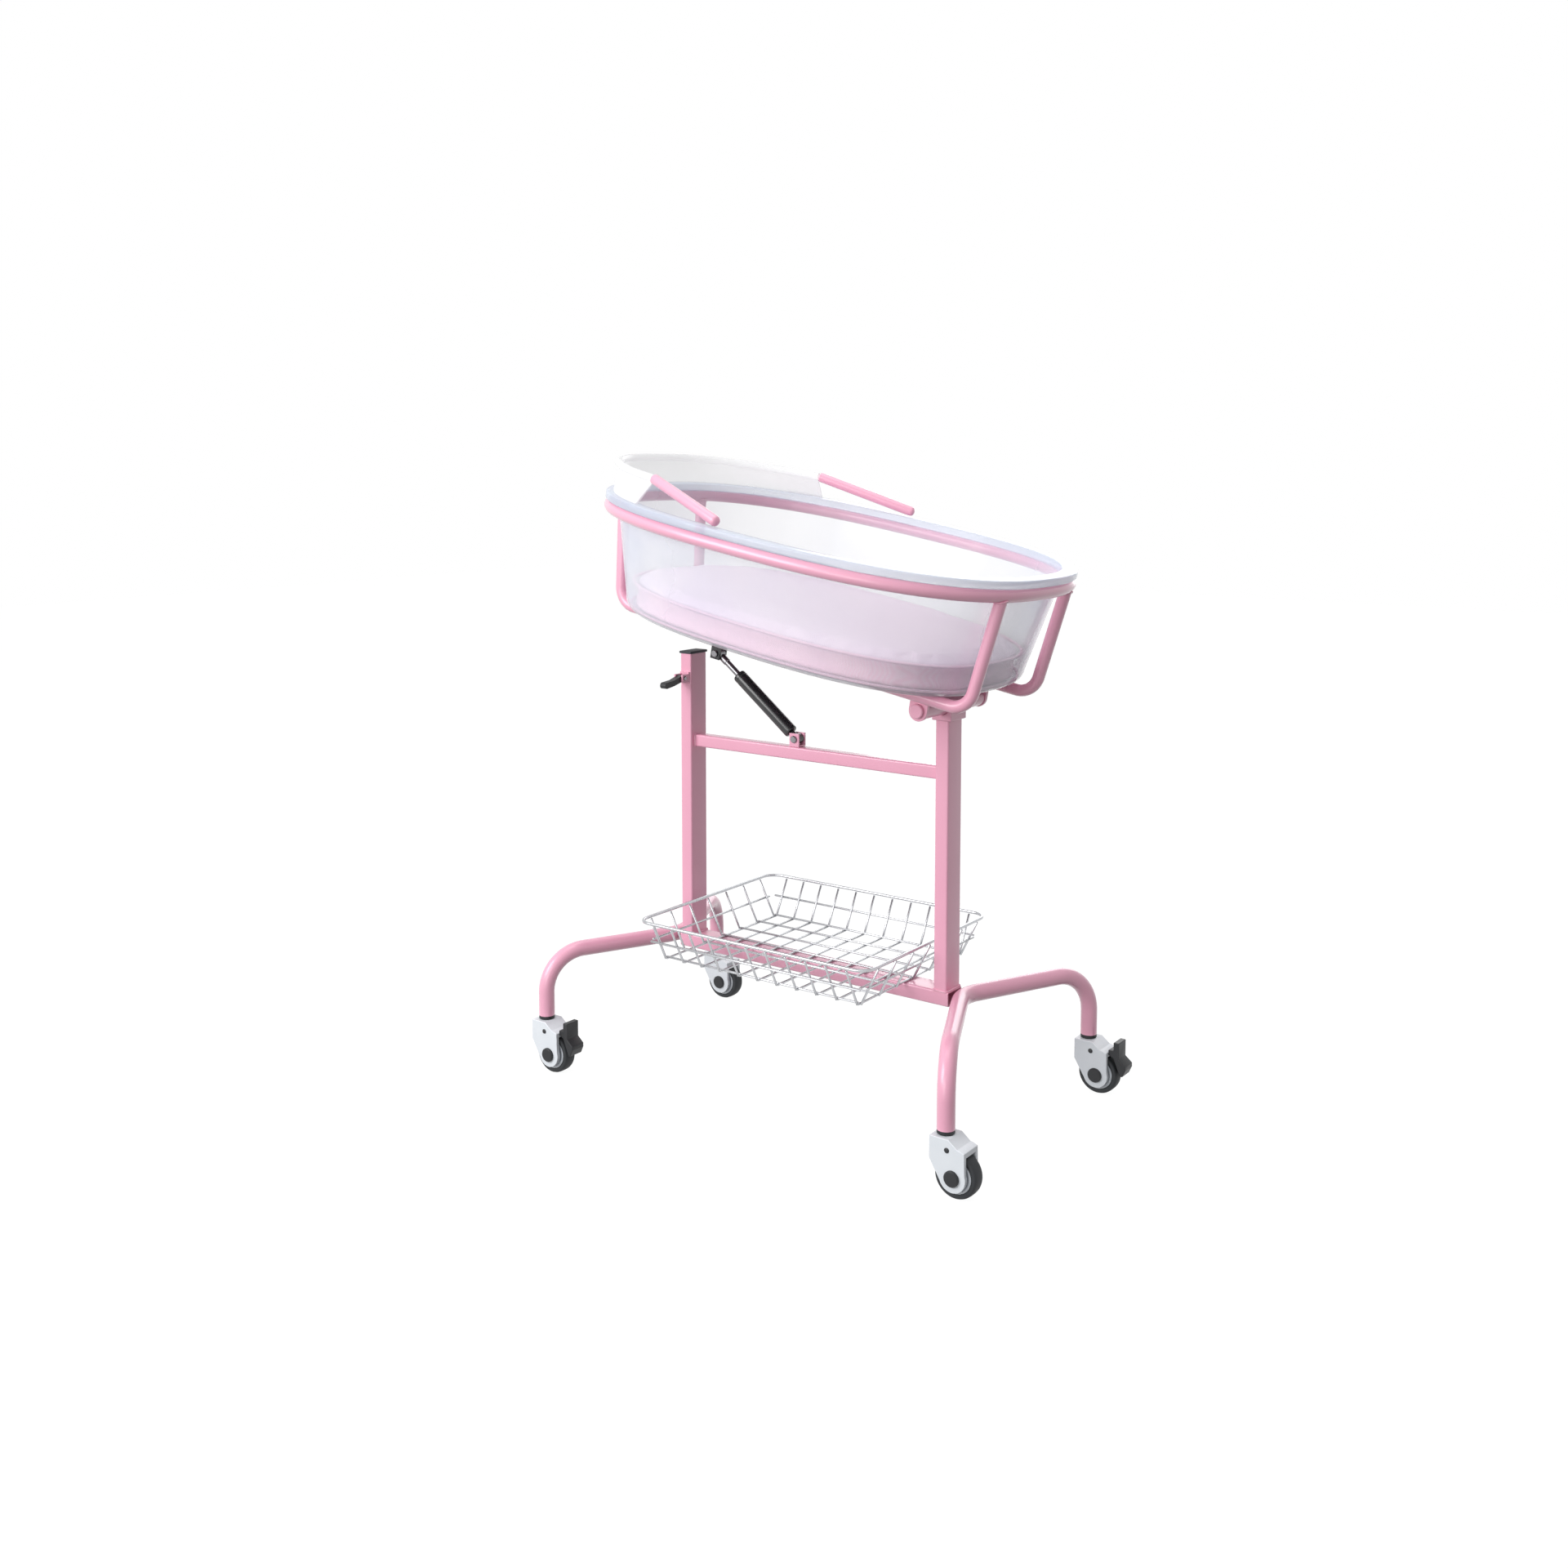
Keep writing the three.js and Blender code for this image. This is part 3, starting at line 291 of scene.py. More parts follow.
def weld_bead(name, loop, reference, body, size=1.6):
    """A thin tube along a closed loop whose thickness ripples, as a run of weld does."""
    ripple = size * (1 + 0.18 * np.sin(np.arange(len(loop)) * 2 * np.pi / 3))
    painted(skin(name, tube(loop, ripple, reference, 8, closed=True), wrap_rows=True), body)


for node, grid in (
    ("base_beam", box_tube(beam_wide, beam_tall, (-beam_end, 0, beam_z), (beam_end, 0, beam_z), across, up)),
    ("left_post", post_tube(-post_x, left_top)),
    ("right_post", post_tube(post_x, right_top)),
    ("crossbar", box_tube(bar_size, bar_size, (-bar_end, 0, bar_z), (bar_end, 0, bar_z), across, up)),
):
    painted(skin(node + "_tube", grid, wrap_rows=True, sharp=50), "trolley", node)

foot_outline = rounded_outline(post_thick + 1, post_wide + 1, edge_radius + 0.5, 12)
bar_outline = rounded_outline(bar_size + 0.6, bar_size + 0.6, edge_radius + 0.2, 10)
for name, side in (("left", -1), ("right", 1)):
    foot = np.column_stack([foot_outline + (side * post_x, 0), np.full(len(foot_outline), beam_top + 0.4)])
    weld_bead(name + "_post_weld", at_trolley(foot), up, "trolley")
    joint = np.column_stack([np.full(len(bar_outline), side * (bar_end + 0.1)), bar_outline + (0, bar_z)])
    weld_bead(name + "_crossbar_weld", at_trolley(joint), along, "trolley", 1.3)

# Cap of the left post
# A moulded black rubber cap closes the open top of the left post. It is pushed in and holds by its grip
# on the tube's inside.


def dull_rubber():
    """Black rubber: matt, with a faint bloom and a fine pebble."""
    finish = Finish("dull_rubber")
    bloom = finish.noise(30.0, 4.0)
    finish.set(Base_Color=finish.mix(bloom, shade(38, 40, 44), shade(70, 73, 78)),
               Roughness=0.62 + bloom * 0.2)
    finish.bump(finish.noise(1100.0, 2.0), 0.12, 0.0004)
    return finish.material


def moulded_black():
    """Moulded black plastic: satin, with a fine spark-eroded grain."""
    finish = Finish("moulded_black")
    drift = finish.noise(45.0, 3.0)
    finish.set(Base_Color=finish.mix(drift, shade(13, 14, 17), shade(26, 28, 33)),
               Roughness=0.38 + drift * 0.14)
    finish.bump(finish.noise(1500.0, 1.0), 0.1, 0.0003)
    return finish.material


rubber, black_plastic = dull_rubber(), moulded_black()


def merged_copy(node, flat=0):
    """A copy of a node's mesh with its loose triangles joined, and those that meet at less than an angle
    in degrees made into one face."""
    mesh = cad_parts[node].data.copy()
    mesh.materials.clear()
    shape = bmesh.new()
    shape.from_mesh(mesh)
    bmesh.ops.remove_doubles(shape, verts=shape.verts, dist=1e-6)
    if flat:
        bmesh.ops.dissolve_limit(shape, angle_limit=np.radians(flat), verts=shape.verts, edges=shape.edges)
    shape.to_mesh(mesh)
    shape.free()
    return mesh


def eased(node, width, segments=3):
    """A copy of a node whose edges are rounded over by a Bevel modifier."""
    piece = smooth_object(node + "_eased", merged_copy(node, 1), 40)
    bevel = piece.modifiers.new("rounded_edges", "BEVEL")
    bevel.width = width * mm
    bevel.segments = segments
    bevel.limit_method = "ANGLE"
    bevel.angle_limit = np.radians(38)
    bevel.harden_normals = False
    return piece


place(eased("left_post_cap", 1.4), "trolley", "black_plastic", rubber, "left_post_cap")

# Hinge on the right post
# A saddle block welded on the post carries a barrel. A long headed pin runs through it and through two
# lugs that hang from the cradle's rails.


def bright_steel():
    """Turned and zinc plated steel: fine lines round the piece and a soft clouding."""
    finish = Finish("bright_steel")
    cloud = finish.noise(60.0, 3.0)
    lines = finish.noise(500.0, 2.0, vector=finish.node("ShaderNodeMapping", None, {
        "Vector": finish.place, "Scale": (6.0, 1.0, 1.0)}))
    finish.set(Base_Color=finish.mix(cloud, shade(120, 119, 122), shade(156, 155, 158)), Metallic=1.0,
               Roughness=0.22 + lines * 0.16)
    finish.bump(lines, 0.05, 0.0002)
    return finish.material


steel = bright_steel()


def turned(profile, centre, axis, sides=40):
    """A profile of (radius, distance along) corners turned about an axis through the centre."""
    profile = np.array(profile, float)
    axis = unit(np.array(axis, float))
    first = unit(np.cross(axis, (0.31, 0.17, 0.93) if abs(axis[2]) < 0.9 else (1.0, 0, 0)))
    second = np.cross(axis, first)
    cos, sin = around(sides)
    circle = cos[:, None] * first + sin[:, None] * second
    return np.asarray(centre) + profile[:, :1, None] * circle[None] + profile[:, 1:, None] * axis


def headed(radius, head, thick, half, crown=1.2):
    """The half profile of a pin with a rounded head beyond each end of its grip."""
    seat, end = half + 0.3, half + 0.3 + thick
    side = [(radius, seat), (head, seat), (head, end - crown), (head - crown, end), (0, end)]
    return [(r, -z) for r, z in reversed(side)] + side


def sleeve(bore, radius, half, chamfer):
    """The closed half profile of a bush: its bore, two flat ends and a chamfered outside."""
    return [(bore, -half), (radius - chamfer, -half), (radius, chamfer - half), (radius, half - chamfer),
            (radius - chamfer, half), (bore, half), (bore, -half)]


hinge = at_trolley((post_x, 0, 617))
barrel = turned(sleeve(7.8, 13.5, 81.3, 1), hinge, across)
painted(skin("hinge_barrel_tube", barrel), "trolley", "hinge_barrel")
painted(skin("hinge_pin_bar", turned(headed(7, 10.5, 5, 87.7), hinge, across)), "trolley", "hinge_pin")
painted(eased("hinge_saddle", 1.2), "trolley", "hinge_saddle")
for node in ("front_hinge_lug", "back_hinge_lug"):
    painted(eased(node, 0.8), "cradle", node)

# Cradle ring and rails
# An oval ring of bent steel tube with two bent rails hung under it. The rails' ends are coped and welded
# to the ring, and all of it is coated pink.
tilt = np.radians(10.3)
ring_at = np.array([-240.0, 0, 192.0])
ring_half_length, ring_half_width, ring_power, ring_radius = 355, 264, 2.6, 9.5
rail_radius, rail_y, rail_drop, rail_lean, rail_bend = 9, 97, 168, 22, 32
rail_bite, rail_end_z = 0.8, -6


def on_cradle(points):
    """Turns points of the level ring, measured from its middle, to their place on the tilted cradle."""
    x, y, z = np.moveaxis(np.asarray(points, float) + ring_at, -1, 0)
    turned_x = x * np.cos(tilt) + z * np.sin(tilt)
    turned_z = z * np.cos(tilt) - x * np.sin(tilt)
    return np.stack([turned_x, y, turned_z], -1) + hinge


def oval(angle, offset=0.0, half_length=ring_half_length, half_width=ring_half_width):
    """The oval |x/a|^n + |y/b|^n = 1 at polar angles, moved outwards along its normal by an offset."""
    cos, sin = np.cos(angle), np.sin(angle)
    share = np.abs(cos / half_length) ** ring_power + np.abs(sin / half_width) ** ring_power
    reach = share ** (-1 / ring_power)
    x, y = reach * cos, reach * sin
    slope_x = np.sign(x) * np.abs(x / half_length) ** (ring_power - 1) / half_length
    slope_y = np.sign(y) * np.abs(y / half_width) ** (ring_power - 1) / half_width
    size = np.hypot(slope_x, slope_y)
    return x + offset * slope_x / size, y + offset * slope_y / size


def oval_loop(offset, height, steps=160):
    """A closed loop of points at one offset and height."""
    angle = np.linspace(0, 2 * np.pi, steps, endpoint=False)
    x, y = oval(angle, offset)
    return np.column_stack([x, y, np.full(steps, height)])


cradle_up = np.array([np.sin(tilt), 0, np.cos(tilt)])
ring_tube = tube(on_cradle(oval_loop(0, 0)), ring_radius, cradle_up, 24, closed=True)
painted(skin("cradle_ring_tube", ring_tube, wrap_rows=True), "cradle", "cradle_ring")

rail_top = ring_half_length * (1 - (rail_y / ring_half_width) ** ring_power) ** (1 / ring_power)
rail_low = rail_top - rail_lean
for side, node in ((-1, "front_rail"), (1, "back_rail")):
    y, end_x = side * rail_y, rail_top - rail_bite
    run = bent([(-end_x, y, rail_end_z), (-rail_low, y, -rail_drop), (rail_low, y, -rail_drop),
                (end_x, y, rail_end_z)], (rail_bend, rail_bend), 16)
    painted(skin(node + "_tube", tube(on_cradle(run), rail_radius, across, 28), cap=True), "cradle", node)
    cos, sin = around(36)
    weld_radius = rail_radius + 0.4
    for end in (-1, 1):
        saddle = -np.sqrt(ring_radius ** 2 - (0.9 * rail_radius * cos) ** 2) - 0.4
        lean = end * rail_lean * saddle / rail_drop
        loop = np.column_stack([end * rail_top + lean + weld_radius * cos, y + weld_radius * sin, saddle])
        name = ("front" if side < 0 else "back") + ("_head" if end < 0 else "_foot") + "_rail_weld"
        weld_bead(name, on_cradle(loop), cradle_up, "cradle", 1.4)

# Cross plate and gas spring
# A flat plate between the rails carries a black bracket. The spring is a black cylinder with a bright rod,
# pinned to that bracket above and to a clevis on the crossbar below.


def black_enamel():
    """Black enamel on a drawn steel tube: glossy, with faint lengthwise lines."""
    finish = Finish("black_enamel")
    drift = finish.noise(40.0, 3.0)
    finish.set(Base_Color=finish.mix(drift, shade(20, 20, 22), shade(38, 38, 41)),
               Roughness=0.24 + drift * 0.14, Coat_Weight=0.2 + drift * 0.2)
    finish.bump(finish.noise(800.0, 2.0), 0.05, 0.0003)
    return finish.material


enamel = black_enamel()
painted(eased("cross_plate", 0.8), "cradle", "cross_plate")
place(eased("upper_spring_bracket", 0.7), "cradle", "black_steel", enamel, "upper_spring_bracket")
painted(eased("spring_clevis", 0.7), "trolley", "spring_clevis")

spring_foot, spring_head = (-31, 0, 537.3), np.array([-428, 0, -34])
lower_pin = at_trolley(spring_foot)
upper_pin = on_cradle(spring_head - ring_at)
for name, body, centre, node in (("lower_pin_bar", "trolley", lower_pin, "lower_spring_pin"),
                                 ("upper_pin_bar", "cradle", upper_pin, "upper_spring_pin")):
    place(skin(name, turned(headed(4, 5.5, 3, 9.4, 0.8), centre, across, 28)), body, "steel", steel, node)

spring_axis = unit(upper_pin - lower_pin)
spring_length = np.linalg.norm(upper_pin - lower_pin)
neck_profile = [(0, 6), (4.6, 6), (4.6, 12.5), (7, 14), (9.6, 14.6), (10.8, 16)]
tube_profile = [(11, 18), (11, 136), (10.4, 136.6), (10.4, 138.4), (11, 139), (11, 143.5)]
mouth_profile = [(10.2, 145.4), (8.6, 146), (5.6, 146), (5.4, 145), (5.4, 24), (0, 24)]
cylinder_profile = neck_profile + tube_profile + mouth_profile


def joined(name, *pieces):
    """One mesh object from several, in the order given."""
    whole = bmesh.new()
    for piece in pieces:
        whole.from_mesh(piece.data)
        bpy.data.objects.remove(piece)
    mesh = bpy.data.meshes.new(name)
    whole.to_mesh(mesh)
    whole.free()
    return smooth_object(name, mesh)


cylinder = joined("spring_cylinder_body",
                  skin("cylinder_tube", turned(cylinder_profile, lower_pin, spring_axis)),
                  skin("cylinder_eye", turned(sleeve(4.4, 8, 6, 0.7), lower_pin, across)))
place(cylinder, "spring_cylinder", "black_steel", enamel, "spring_cylinder")

rod_end = spring_length - 10
rod_profile = [(0, 80), (5, 80), (5, rod_end - 13), (6, rod_end - 12), (6, rod_end + 1), (5, rod_end + 2.5),
               (0, rod_end + 2.5)]
rod = joined("spring_rod_bar",
             skin("rod_bar", turned(rod_profile, lower_pin, spring_axis)),
             skin("rod_eye", turned(sleeve(6.8, 10, 6, 0.7), upper_pin, across)))
place(rod, "spring_rod", "steel", steel, "spring_rod")

# Release lever
# A black moulded lever turns on a pin in a small bracket, which is welded to the left post's front. Pressing
# it unlocks the spring.
painted(eased("lever_bracket", 0.6), "trolley", "lever_bracket")
lever_at = at_trolley((-post_x, -32.3, 619))
lever_pin = [(0, -10.4), (2.4, -10.4), (3, -9.8), (3, 9.8), (2.4, 10.4), (0, 10.4)]
place(skin("lever_pin_bar", turned(lever_pin, lever_at, along, 24)), "trolley", "steel", steel, "lever_pin")
place(eased("release_lever", 1.6, 4), "release_lever", "black_plastic", black_plastic, "release_lever")

# Wire basket
# Bright plated steel wire, spot welded where it crosses: a thick rim, a floor grille that lies on the beam
# and four leaning sides.


def plated_wire():
    """Bright plated wire: grey chrome with a little clouding."""
    finish = Finish("plated_wire")
    cloud = finish.noise(120.0, 3.0)
    finish.set(Base_Color=finish.mix(cloud, shade(176, 178, 182), shade(206, 207, 210)), Metallic=1.0,
               Roughness=0.2 + cloud * 0.14)
    finish.bump(cloud, 0.04, 0.0002)
    return finish.material


wire_finish = plated_wire()
rim_x, rim_y, rim_z, rim_radius, wire_radius, inset = 211.5, 174.5, 257, 2.5, 1.75, 33
floor_x, floor_y, floor_z = rim_x - inset, rim_y - inset, beam_top + touch_gap + wire_radius
weld_bite, overhang, rim_bend, belt_trim, side_gap, rim_gap = 1.4, 1.7, 24, 5.6, 3.8, 3.4
layer = 2 * wire_radius - weld_bite


def wires(starts, ends, radius=wire_radius, sides=10):
    """Straight round wires between two lists of points, each a ring of corners at either end with a
    smaller ring beyond it that rounds the cut end. Returns the corners and faces of all of them."""
    starts, ends = at_trolley(starts), at_trolley(ends)
    way = unit(ends - starts)
    lead = np.where(np.abs(way[:, 2:]) > 0.9, (1.0, 0, 0), (0, 0, 1.0))
    first = unit(np.cross(way, lead))
    second = np.cross(way, first)
    cos, sin = around(sides)
    circle = cos[None, :, None] * first[:, None] + sin[None, :, None] * second[:, None]
    trim = 0.35 * radius * way
    rows = np.stack([starts[:, None] + 0.6 * radius * circle, (starts + trim)[:, None] + radius * circle,
                     (ends - trim)[:, None] + radius * circle, ends[:, None] + 0.6 * radius * circle], 1)
    count = len(starts)
    index = np.arange(count * 4 * sides).reshape(count, 4, sides)
    after = np.roll(index, -1, 2)
    faces = np.stack([index[:, :-1], after[:, :-1], after[:, 1:], index[:, 1:]], -1).reshape(-1, 4).tolist()
    return rows.reshape(-1, 3), faces + index[:, 0, ::-1].tolist() + index[:, 3].tolist()


def grille(name, node, starts, ends):
    """One flat grille of the basket, from the two ends of all its wires."""
    place(mesh_piece(name, *wires(starts, ends), 60), "trolley", "wire", wire_finish, node)


rim_outline = rounded_outline(2 * rim_x, 2 * rim_y, rim_bend, 14)
rim_loop = np.column_stack([rim_outline, np.full(len(rim_outline), rim_z)])
place(skin("basket_rim_wire", tube(at_trolley(rim_loop), rim_radius, up, 14, closed=True), wrap_rows=True),
      "trolley", "wire", wire_finish, "basket_rim")

lengthwise = np.linspace(-floor_y, floor_y, 7)
crosswise = np.linspace(-floor_x, floor_x, 11)


def floor_ends(side):
    """One end of each floor wire: the lengthwise wires lie on the crosswise ones."""
    end_x, end_y = side * (floor_x + overhang), side * (floor_y + overhang)
    return [(end_x, y, floor_z + layer) for y in lengthwise] + [(x, end_y, floor_z) for x in crosswise]


grille("basket_floor_grille", "basket_floor", floor_ends(-1), floor_ends(1))


def basket_side(places, floor_half, rim_half, belt_half):
    """The ends of a side's uprights and of its belt wire, with the side facing +Y. The uprights lean from
    just outside the floor to just under the rim, and the belt lies half way up."""
    low_y, top_z = floor_half + side_gap, rim_z - rim_gap
    starts = [(x, low_y, floor_z) for x in places]
    ends = [(x, rim_half, top_z) for x in places]
    belt_y, belt_z = (low_y + rim_half) / 2 + layer, (floor_z + top_z) / 2
    return np.array(starts + [(-belt_half, belt_y, belt_z)]), np.array(ends + [(belt_half, belt_y, belt_z)])


def quarter(points, turns):
    """Turns points about Z by quarter turns."""
    x, y, z = points.T
    cos, sin = [(1, 0), (0, 1), (-1, 0), (0, -1)][turns % 4]
    return np.column_stack([cos * x - sin * y, sin * x + cos * y, z])


long_side = basket_side(crosswise, floor_y, rim_y, rim_x - inset / 2)
short_side = basket_side(lengthwise, floor_x, rim_x, rim_y - inset / 2 - belt_trim)
for node, ends, turns in (("basket_back", long_side, 0), ("basket_front", long_side, 2),
                          ("basket_left", short_side, 1), ("basket_right", short_side, 3)):
    grille(node + "_grille", node, quarter(ends[0], turns), quarter(ends[1], turns))

# Casters
# A white moulded hood swivels on a stem plugged into the leg. The grey tyre runs on a white core, and a
# black cap hides each end of the axle. Two of the four have a black brake pedal.


def moulded_white():
    """White moulded plastic: a cool white, satin, with a faint grain and grime."""
    finish = Finish("moulded_white")
    drift = finish.noise(35.0, 4.0)
    finish.set(Base_Color=finish.mix(drift, shade(234, 238, 243), shade(222, 227, 233)),
               Roughness=0.32 + drift * 0.14)
    finish.bump(finish.noise(1300.0, 1.0), 0.06, 0.0003)
    return finish.material


def tyre_rubber():
    """Dark grey tyre: matt tread with dusty patches."""
    finish = Finish("tyre_rubber")
    dust = finish.noise(55.0, 4.0, 0.6)
    finish.set(Base_Color=finish.mix(dust, shade(22, 24, 27), shade(52, 55, 59)),
               Roughness=0.55 + dust * 0.25)
    finish.bump(finish.noise(900.0, 3.0), 0.15, 0.0005)
    return finish.material


white_plastic, tread = moulded_white(), tyre_rubber()
wheel_sides = 24
wheel_radius = 32 * np.cos(np.pi / wheel_sides)
trail, hood_face, rivet_x, rivet_z = 20, 18.4, 12, 68


def both_sides(half):
    """A closed profile of (radius, distance) corners: one side of the middle, then the same mirrored."""
    return [(radius, -far) for radius, far in half] + half[::-1] + [(half[0][0], -half[0][1])]


tyre_profile = both_sides([(24, 10), (26, 10.6), (28.5, 10.8), (30.4, 9.6), (31.4, 7), (wheel_radius, 3)])
core_profile = both_sides([(4.5, 10), (10, 10), (11, 9), (11.5, 6), (19, 6), (20, 9), (23.7, 9.8)])
stem_profile = [(0, 65.7), (6, 65.7), (6, 82.7), (11.6, 82.7), (12.4, 83.7), (12.4, 86.9), (11.8, 87.7),
                (9.6, 87.7), (9.6, 104), (0, 104)]
rivet_profile = [(0, 0.2), (3.6, 0.2), (3.6, 0.9), (2.8, 1.5), (0, 1.7)]
for corner, side_x, side_y in (("front_left", -1, -1), ("front_right", 1, -1),
                               ("back_left", -1, 1), ("back_right", 1, 1)):
    foot = at_trolley((side_x * foot_x, side_y * foot_y, 0))
    axle = foot + (trail, 0, wheel_radius)
    swivel, wheel = corner + "_caster", corner + "_wheel"
    place(skin(corner + "_stem_pin", turned(stem_profile, foot, up, 36)),
          "trolley", "black_plastic", black_plastic, corner + "_caster_stem")
    place(eased(corner + "_caster_hood", 1.5),
          swivel, "white_plastic", white_plastic, corner + "_caster_hood")
    place(skin(corner + "_axle_bar", turned(headed(4, 11, 4, 18.5, 1.5), axle, across)),
          swivel, "black_plastic", black_plastic, corner + "_axle")
    place(skin(corner + "_wheel_core", turned(core_profile, axle, across, 56)),
          wheel, "white_plastic", white_plastic, corner + "_wheel")
    place(skin(corner + "_tyre_ring", turned(tyre_profile, axle, across, 72), sharp=60),
          wheel, "tyre_rubber", tread, corner + "_tyre")
    for name, face in (("_front_rivet", -1), ("_back_rivet", 1)):
        centre = foot + (rivet_x, face * hood_face, rivet_z)
        place(skin(corner + name, turned(rivet_profile, centre, (0, face, 0), 20)),
              swivel, "black_plastic", black_plastic)
    if corner in ("front_left", "back_right"):
        place(eased(corner + "_brake_pedal", 1.2),
              corner + "_brake", "black_plastic", black_plastic, corner + "_brake_pedal")

# Basin
# An oval tub, moulded from clear plastic in one piece. Its thick lip lies on the ring and its floor rests
# on the rails, so it lifts out by hand.
basin_floor = -rail_drop + rail_radius + touch_gap
lip_under = ring_radius + touch_gap
lip_top, lip_reach, lip_edge, lip_inner_edge = lip_under + 12, 9, 2.5, 3
wall_top, wall_low, wall_fillet = -11.5, -41.5, 2.7
basin_wall, basin_corner = 3, 22


def arc_rows(centre, radius, start, end, steps):
    """Offset and height of points along an arc, with angles in degrees from outwards towards up."""
    angle = np.radians(np.linspace(start, end, steps))
    return np.column_stack([centre[0] + radius * np.cos(angle), centre[1] + radius * np.sin(angle)])


def oval_loft(rows, steps=160):
    """Ovals stacked by rows of offset, height and share of full size, on the level ring."""
    rows = np.asarray(rows, float)
    angle = np.linspace(0, 2 * np.pi, steps, endpoint=False)
    x, y = oval(angle[None], rows[:, :1])
    return np.stack([x * rows[:, 2:], y * rows[:, 2:], np.broadcast_to(rows[:, 1:2], x.shape)], -1)


def full(rows):
    """Rows of offset and height with a full share added."""
    return np.column_stack([rows, np.ones(len(rows))])


def floor_rows(edge, height):
    """A flat floor from its middle out to the edge offset."""
    share = np.linspace(0, 1, 8)[:-1]
    return np.column_stack([np.full_like(share, edge), np.full_like(share, height), share])


floor_edge, corner_z = wall_low - basin_corner, basin_floor + basin_corner
inner_top, inner_low = wall_top - basin_wall, wall_low - basin_wall
outside = np.concatenate([
    floor_rows(floor_edge, basin_floor),
    full(arc_rows((floor_edge, corner_z), basin_corner, -90, 0, 10)),
    full(np.linspace((wall_low + 0.1, corner_z + 1), (wall_top, lip_under - 3), 10)),
    full(arc_rows((wall_top + wall_fillet, lip_under - wall_fillet), wall_fillet, 180, 90, 5)),
    full(arc_rows((lip_reach - lip_edge, lip_under + lip_edge), lip_edge, -90, 0, 5)),
    full(arc_rows((lip_reach - lip_edge, lip_top - lip_edge), lip_edge, 0, 90, 5))])
inside = np.concatenate([
    full(arc_rows((inner_top + lip_inner_edge, lip_top - lip_inner_edge), lip_inner_edge, 90, 180, 5)),
    full(np.linspace((inner_top, lip_under), (inner_low, corner_z), 10)),
    full(arc_rows((floor_edge, corner_z), basin_corner - basin_wall, 0, -90, 10)),
    floor_rows(floor_edge, basin_floor + basin_wall)[::-1]])


def cradle_axes(finish):
    """X, Y and Z of a point along the tilted cradle's own axes: its place turned back by the tilt."""
    level = finish.node("ShaderNodeMapping", {"vector_type": "POINT"}, {
        "Vector": finish.place, "Rotation": (0, -tilt, 0)})
    return [finish.node("ShaderNodeSeparateXYZ", None, {"Vector": level}, axis) for axis in "XYZ"]


def above_on_cradle(rise, height, blur):
    """A mask of what lies higher on the cradle than a height over the ring's middle. It goes from no to
    yes within the blur on either side."""
    edge = float(on_cradle((0, 0, height)) @ cradle_up)
    return rise.finish.step(rise, (edge - blur) * mm, (edge + blur) * mm)


def clear_plastic(name, tint, body, edge, haze, lip=None):
    """Thin clear plastic: see-through face on and milkier where it is seen edge on, with a gloss. Above
    the height of a thick lip it is bluer and milkier still."""
    finish = Finish(name)
    facing = finish.node("ShaderNodeLayerWeight", None, {"Blend": 0.35}, "Facing")
    cloud = finish.noise(9.0, 3.0)
    colour = finish.mix(cloud, tint, shade(250, 250, 252))
    cover = body + facing * edge + cloud * haze
    if lip is not None:
        _, _, rise = cradle_axes(finish)
        thick = above_on_cradle(rise, lip, 1.5)
        colour = finish.mix(thick, colour, shade(204, 213, 230))
        cover = cover + thick * 0.22
    finish.set(Base_Color=colour, Roughness=0.08 + cloud * 0.08, Alpha=cover, IOR=1.46)
    finish.bump(finish.noise(25.0, 2.0), 0.03, 0.002)
    return finish.material


basin_plastic = clear_plastic("clear_plastic", shade(208, 216, 236), 0.09, 0.62, 0.05, lip_under)
tub = on_cradle(oval_loft(np.concatenate([outside, inside])))
place(skin("basin_tub", tub, sharp=60), "basin", "clear_plastic", basin_plastic, "basin")

# The pink side is painted lighter than the top, as painted light that lifts the shade on it.
# Mattress
# A foam pad in a sewn cover, pale lavender on top and pink round the side, lying on the basin's floor.
# It is blown up a little as cloth, and welted seams run round its top and bottom edges.
mattress_foot = basin_floor + basin_wall + touch_gap
mattress_top = mattress_foot + 47
mattress_edge, mattress_gap, seam_drop = 7, 1.5, 9
mattress_side = wall_low - basin_corner + 2 * mattress_edge - mattress_gap


def woven_cover():
    """Plain weave of fine threads: the product of a sine along and a sine across, which goes over and
    under about 380 times a metre. The top and the side have two colours; the side is painted lighter
    than the top, as painted light against the shade that falls on it."""
    finish = Finish("woven_cover")
    x, y, rise = cradle_axes(finish)
    radians_per_metre = 2400.0
    warp, weft = [finish.node("ShaderNodeMath", {"operation": "SINE"}, {0: axis * radians_per_metre})
                  for axis in (x, y)]
    threads = warp * weft
    above = above_on_cradle(rise, mattress_top - seam_drop, 4)
    drift = finish.noise(14.0, 4.0)
    top = finish.mix(drift, shade(236, 216, 233), shade(227, 203, 224))
    # Painted light: the side's pink is made lighter than the top's to lift the shade that falls on the side.
    side = finish.mix(drift, shade(255, 214, 231), shade(252, 200, 222))
    woven = finish.mix(above, side, top)
    finish.set(Base_Color=finish.mix(0.3 + threads * 0.3, woven, shade(252, 244, 250)),
               Roughness=0.82 + drift * 0.12, Sheen_Weight=0.25)
    finish.bump(threads * 0.35 + finish.noise(22.0, 3.0) * 3.0, 0.3, 0.0015)
    return finish.material


cover = woven_cover()


def flatten(piece):
    """Swaps a piece's mesh for what its modifiers make of it."""
    made = bpy.data.meshes.new_from_object(piece.evaluated_get(bpy.context.evaluated_depsgraph_get()))
    piece.modifiers.clear()
    piece.data = made


def corners_of(mesh):
    """All the corners of a mesh as rows."""
    points = np.empty(len(mesh.vertices) * 3)
    mesh.vertices.foreach_get("co", points)
    return points.reshape(-1, 3)


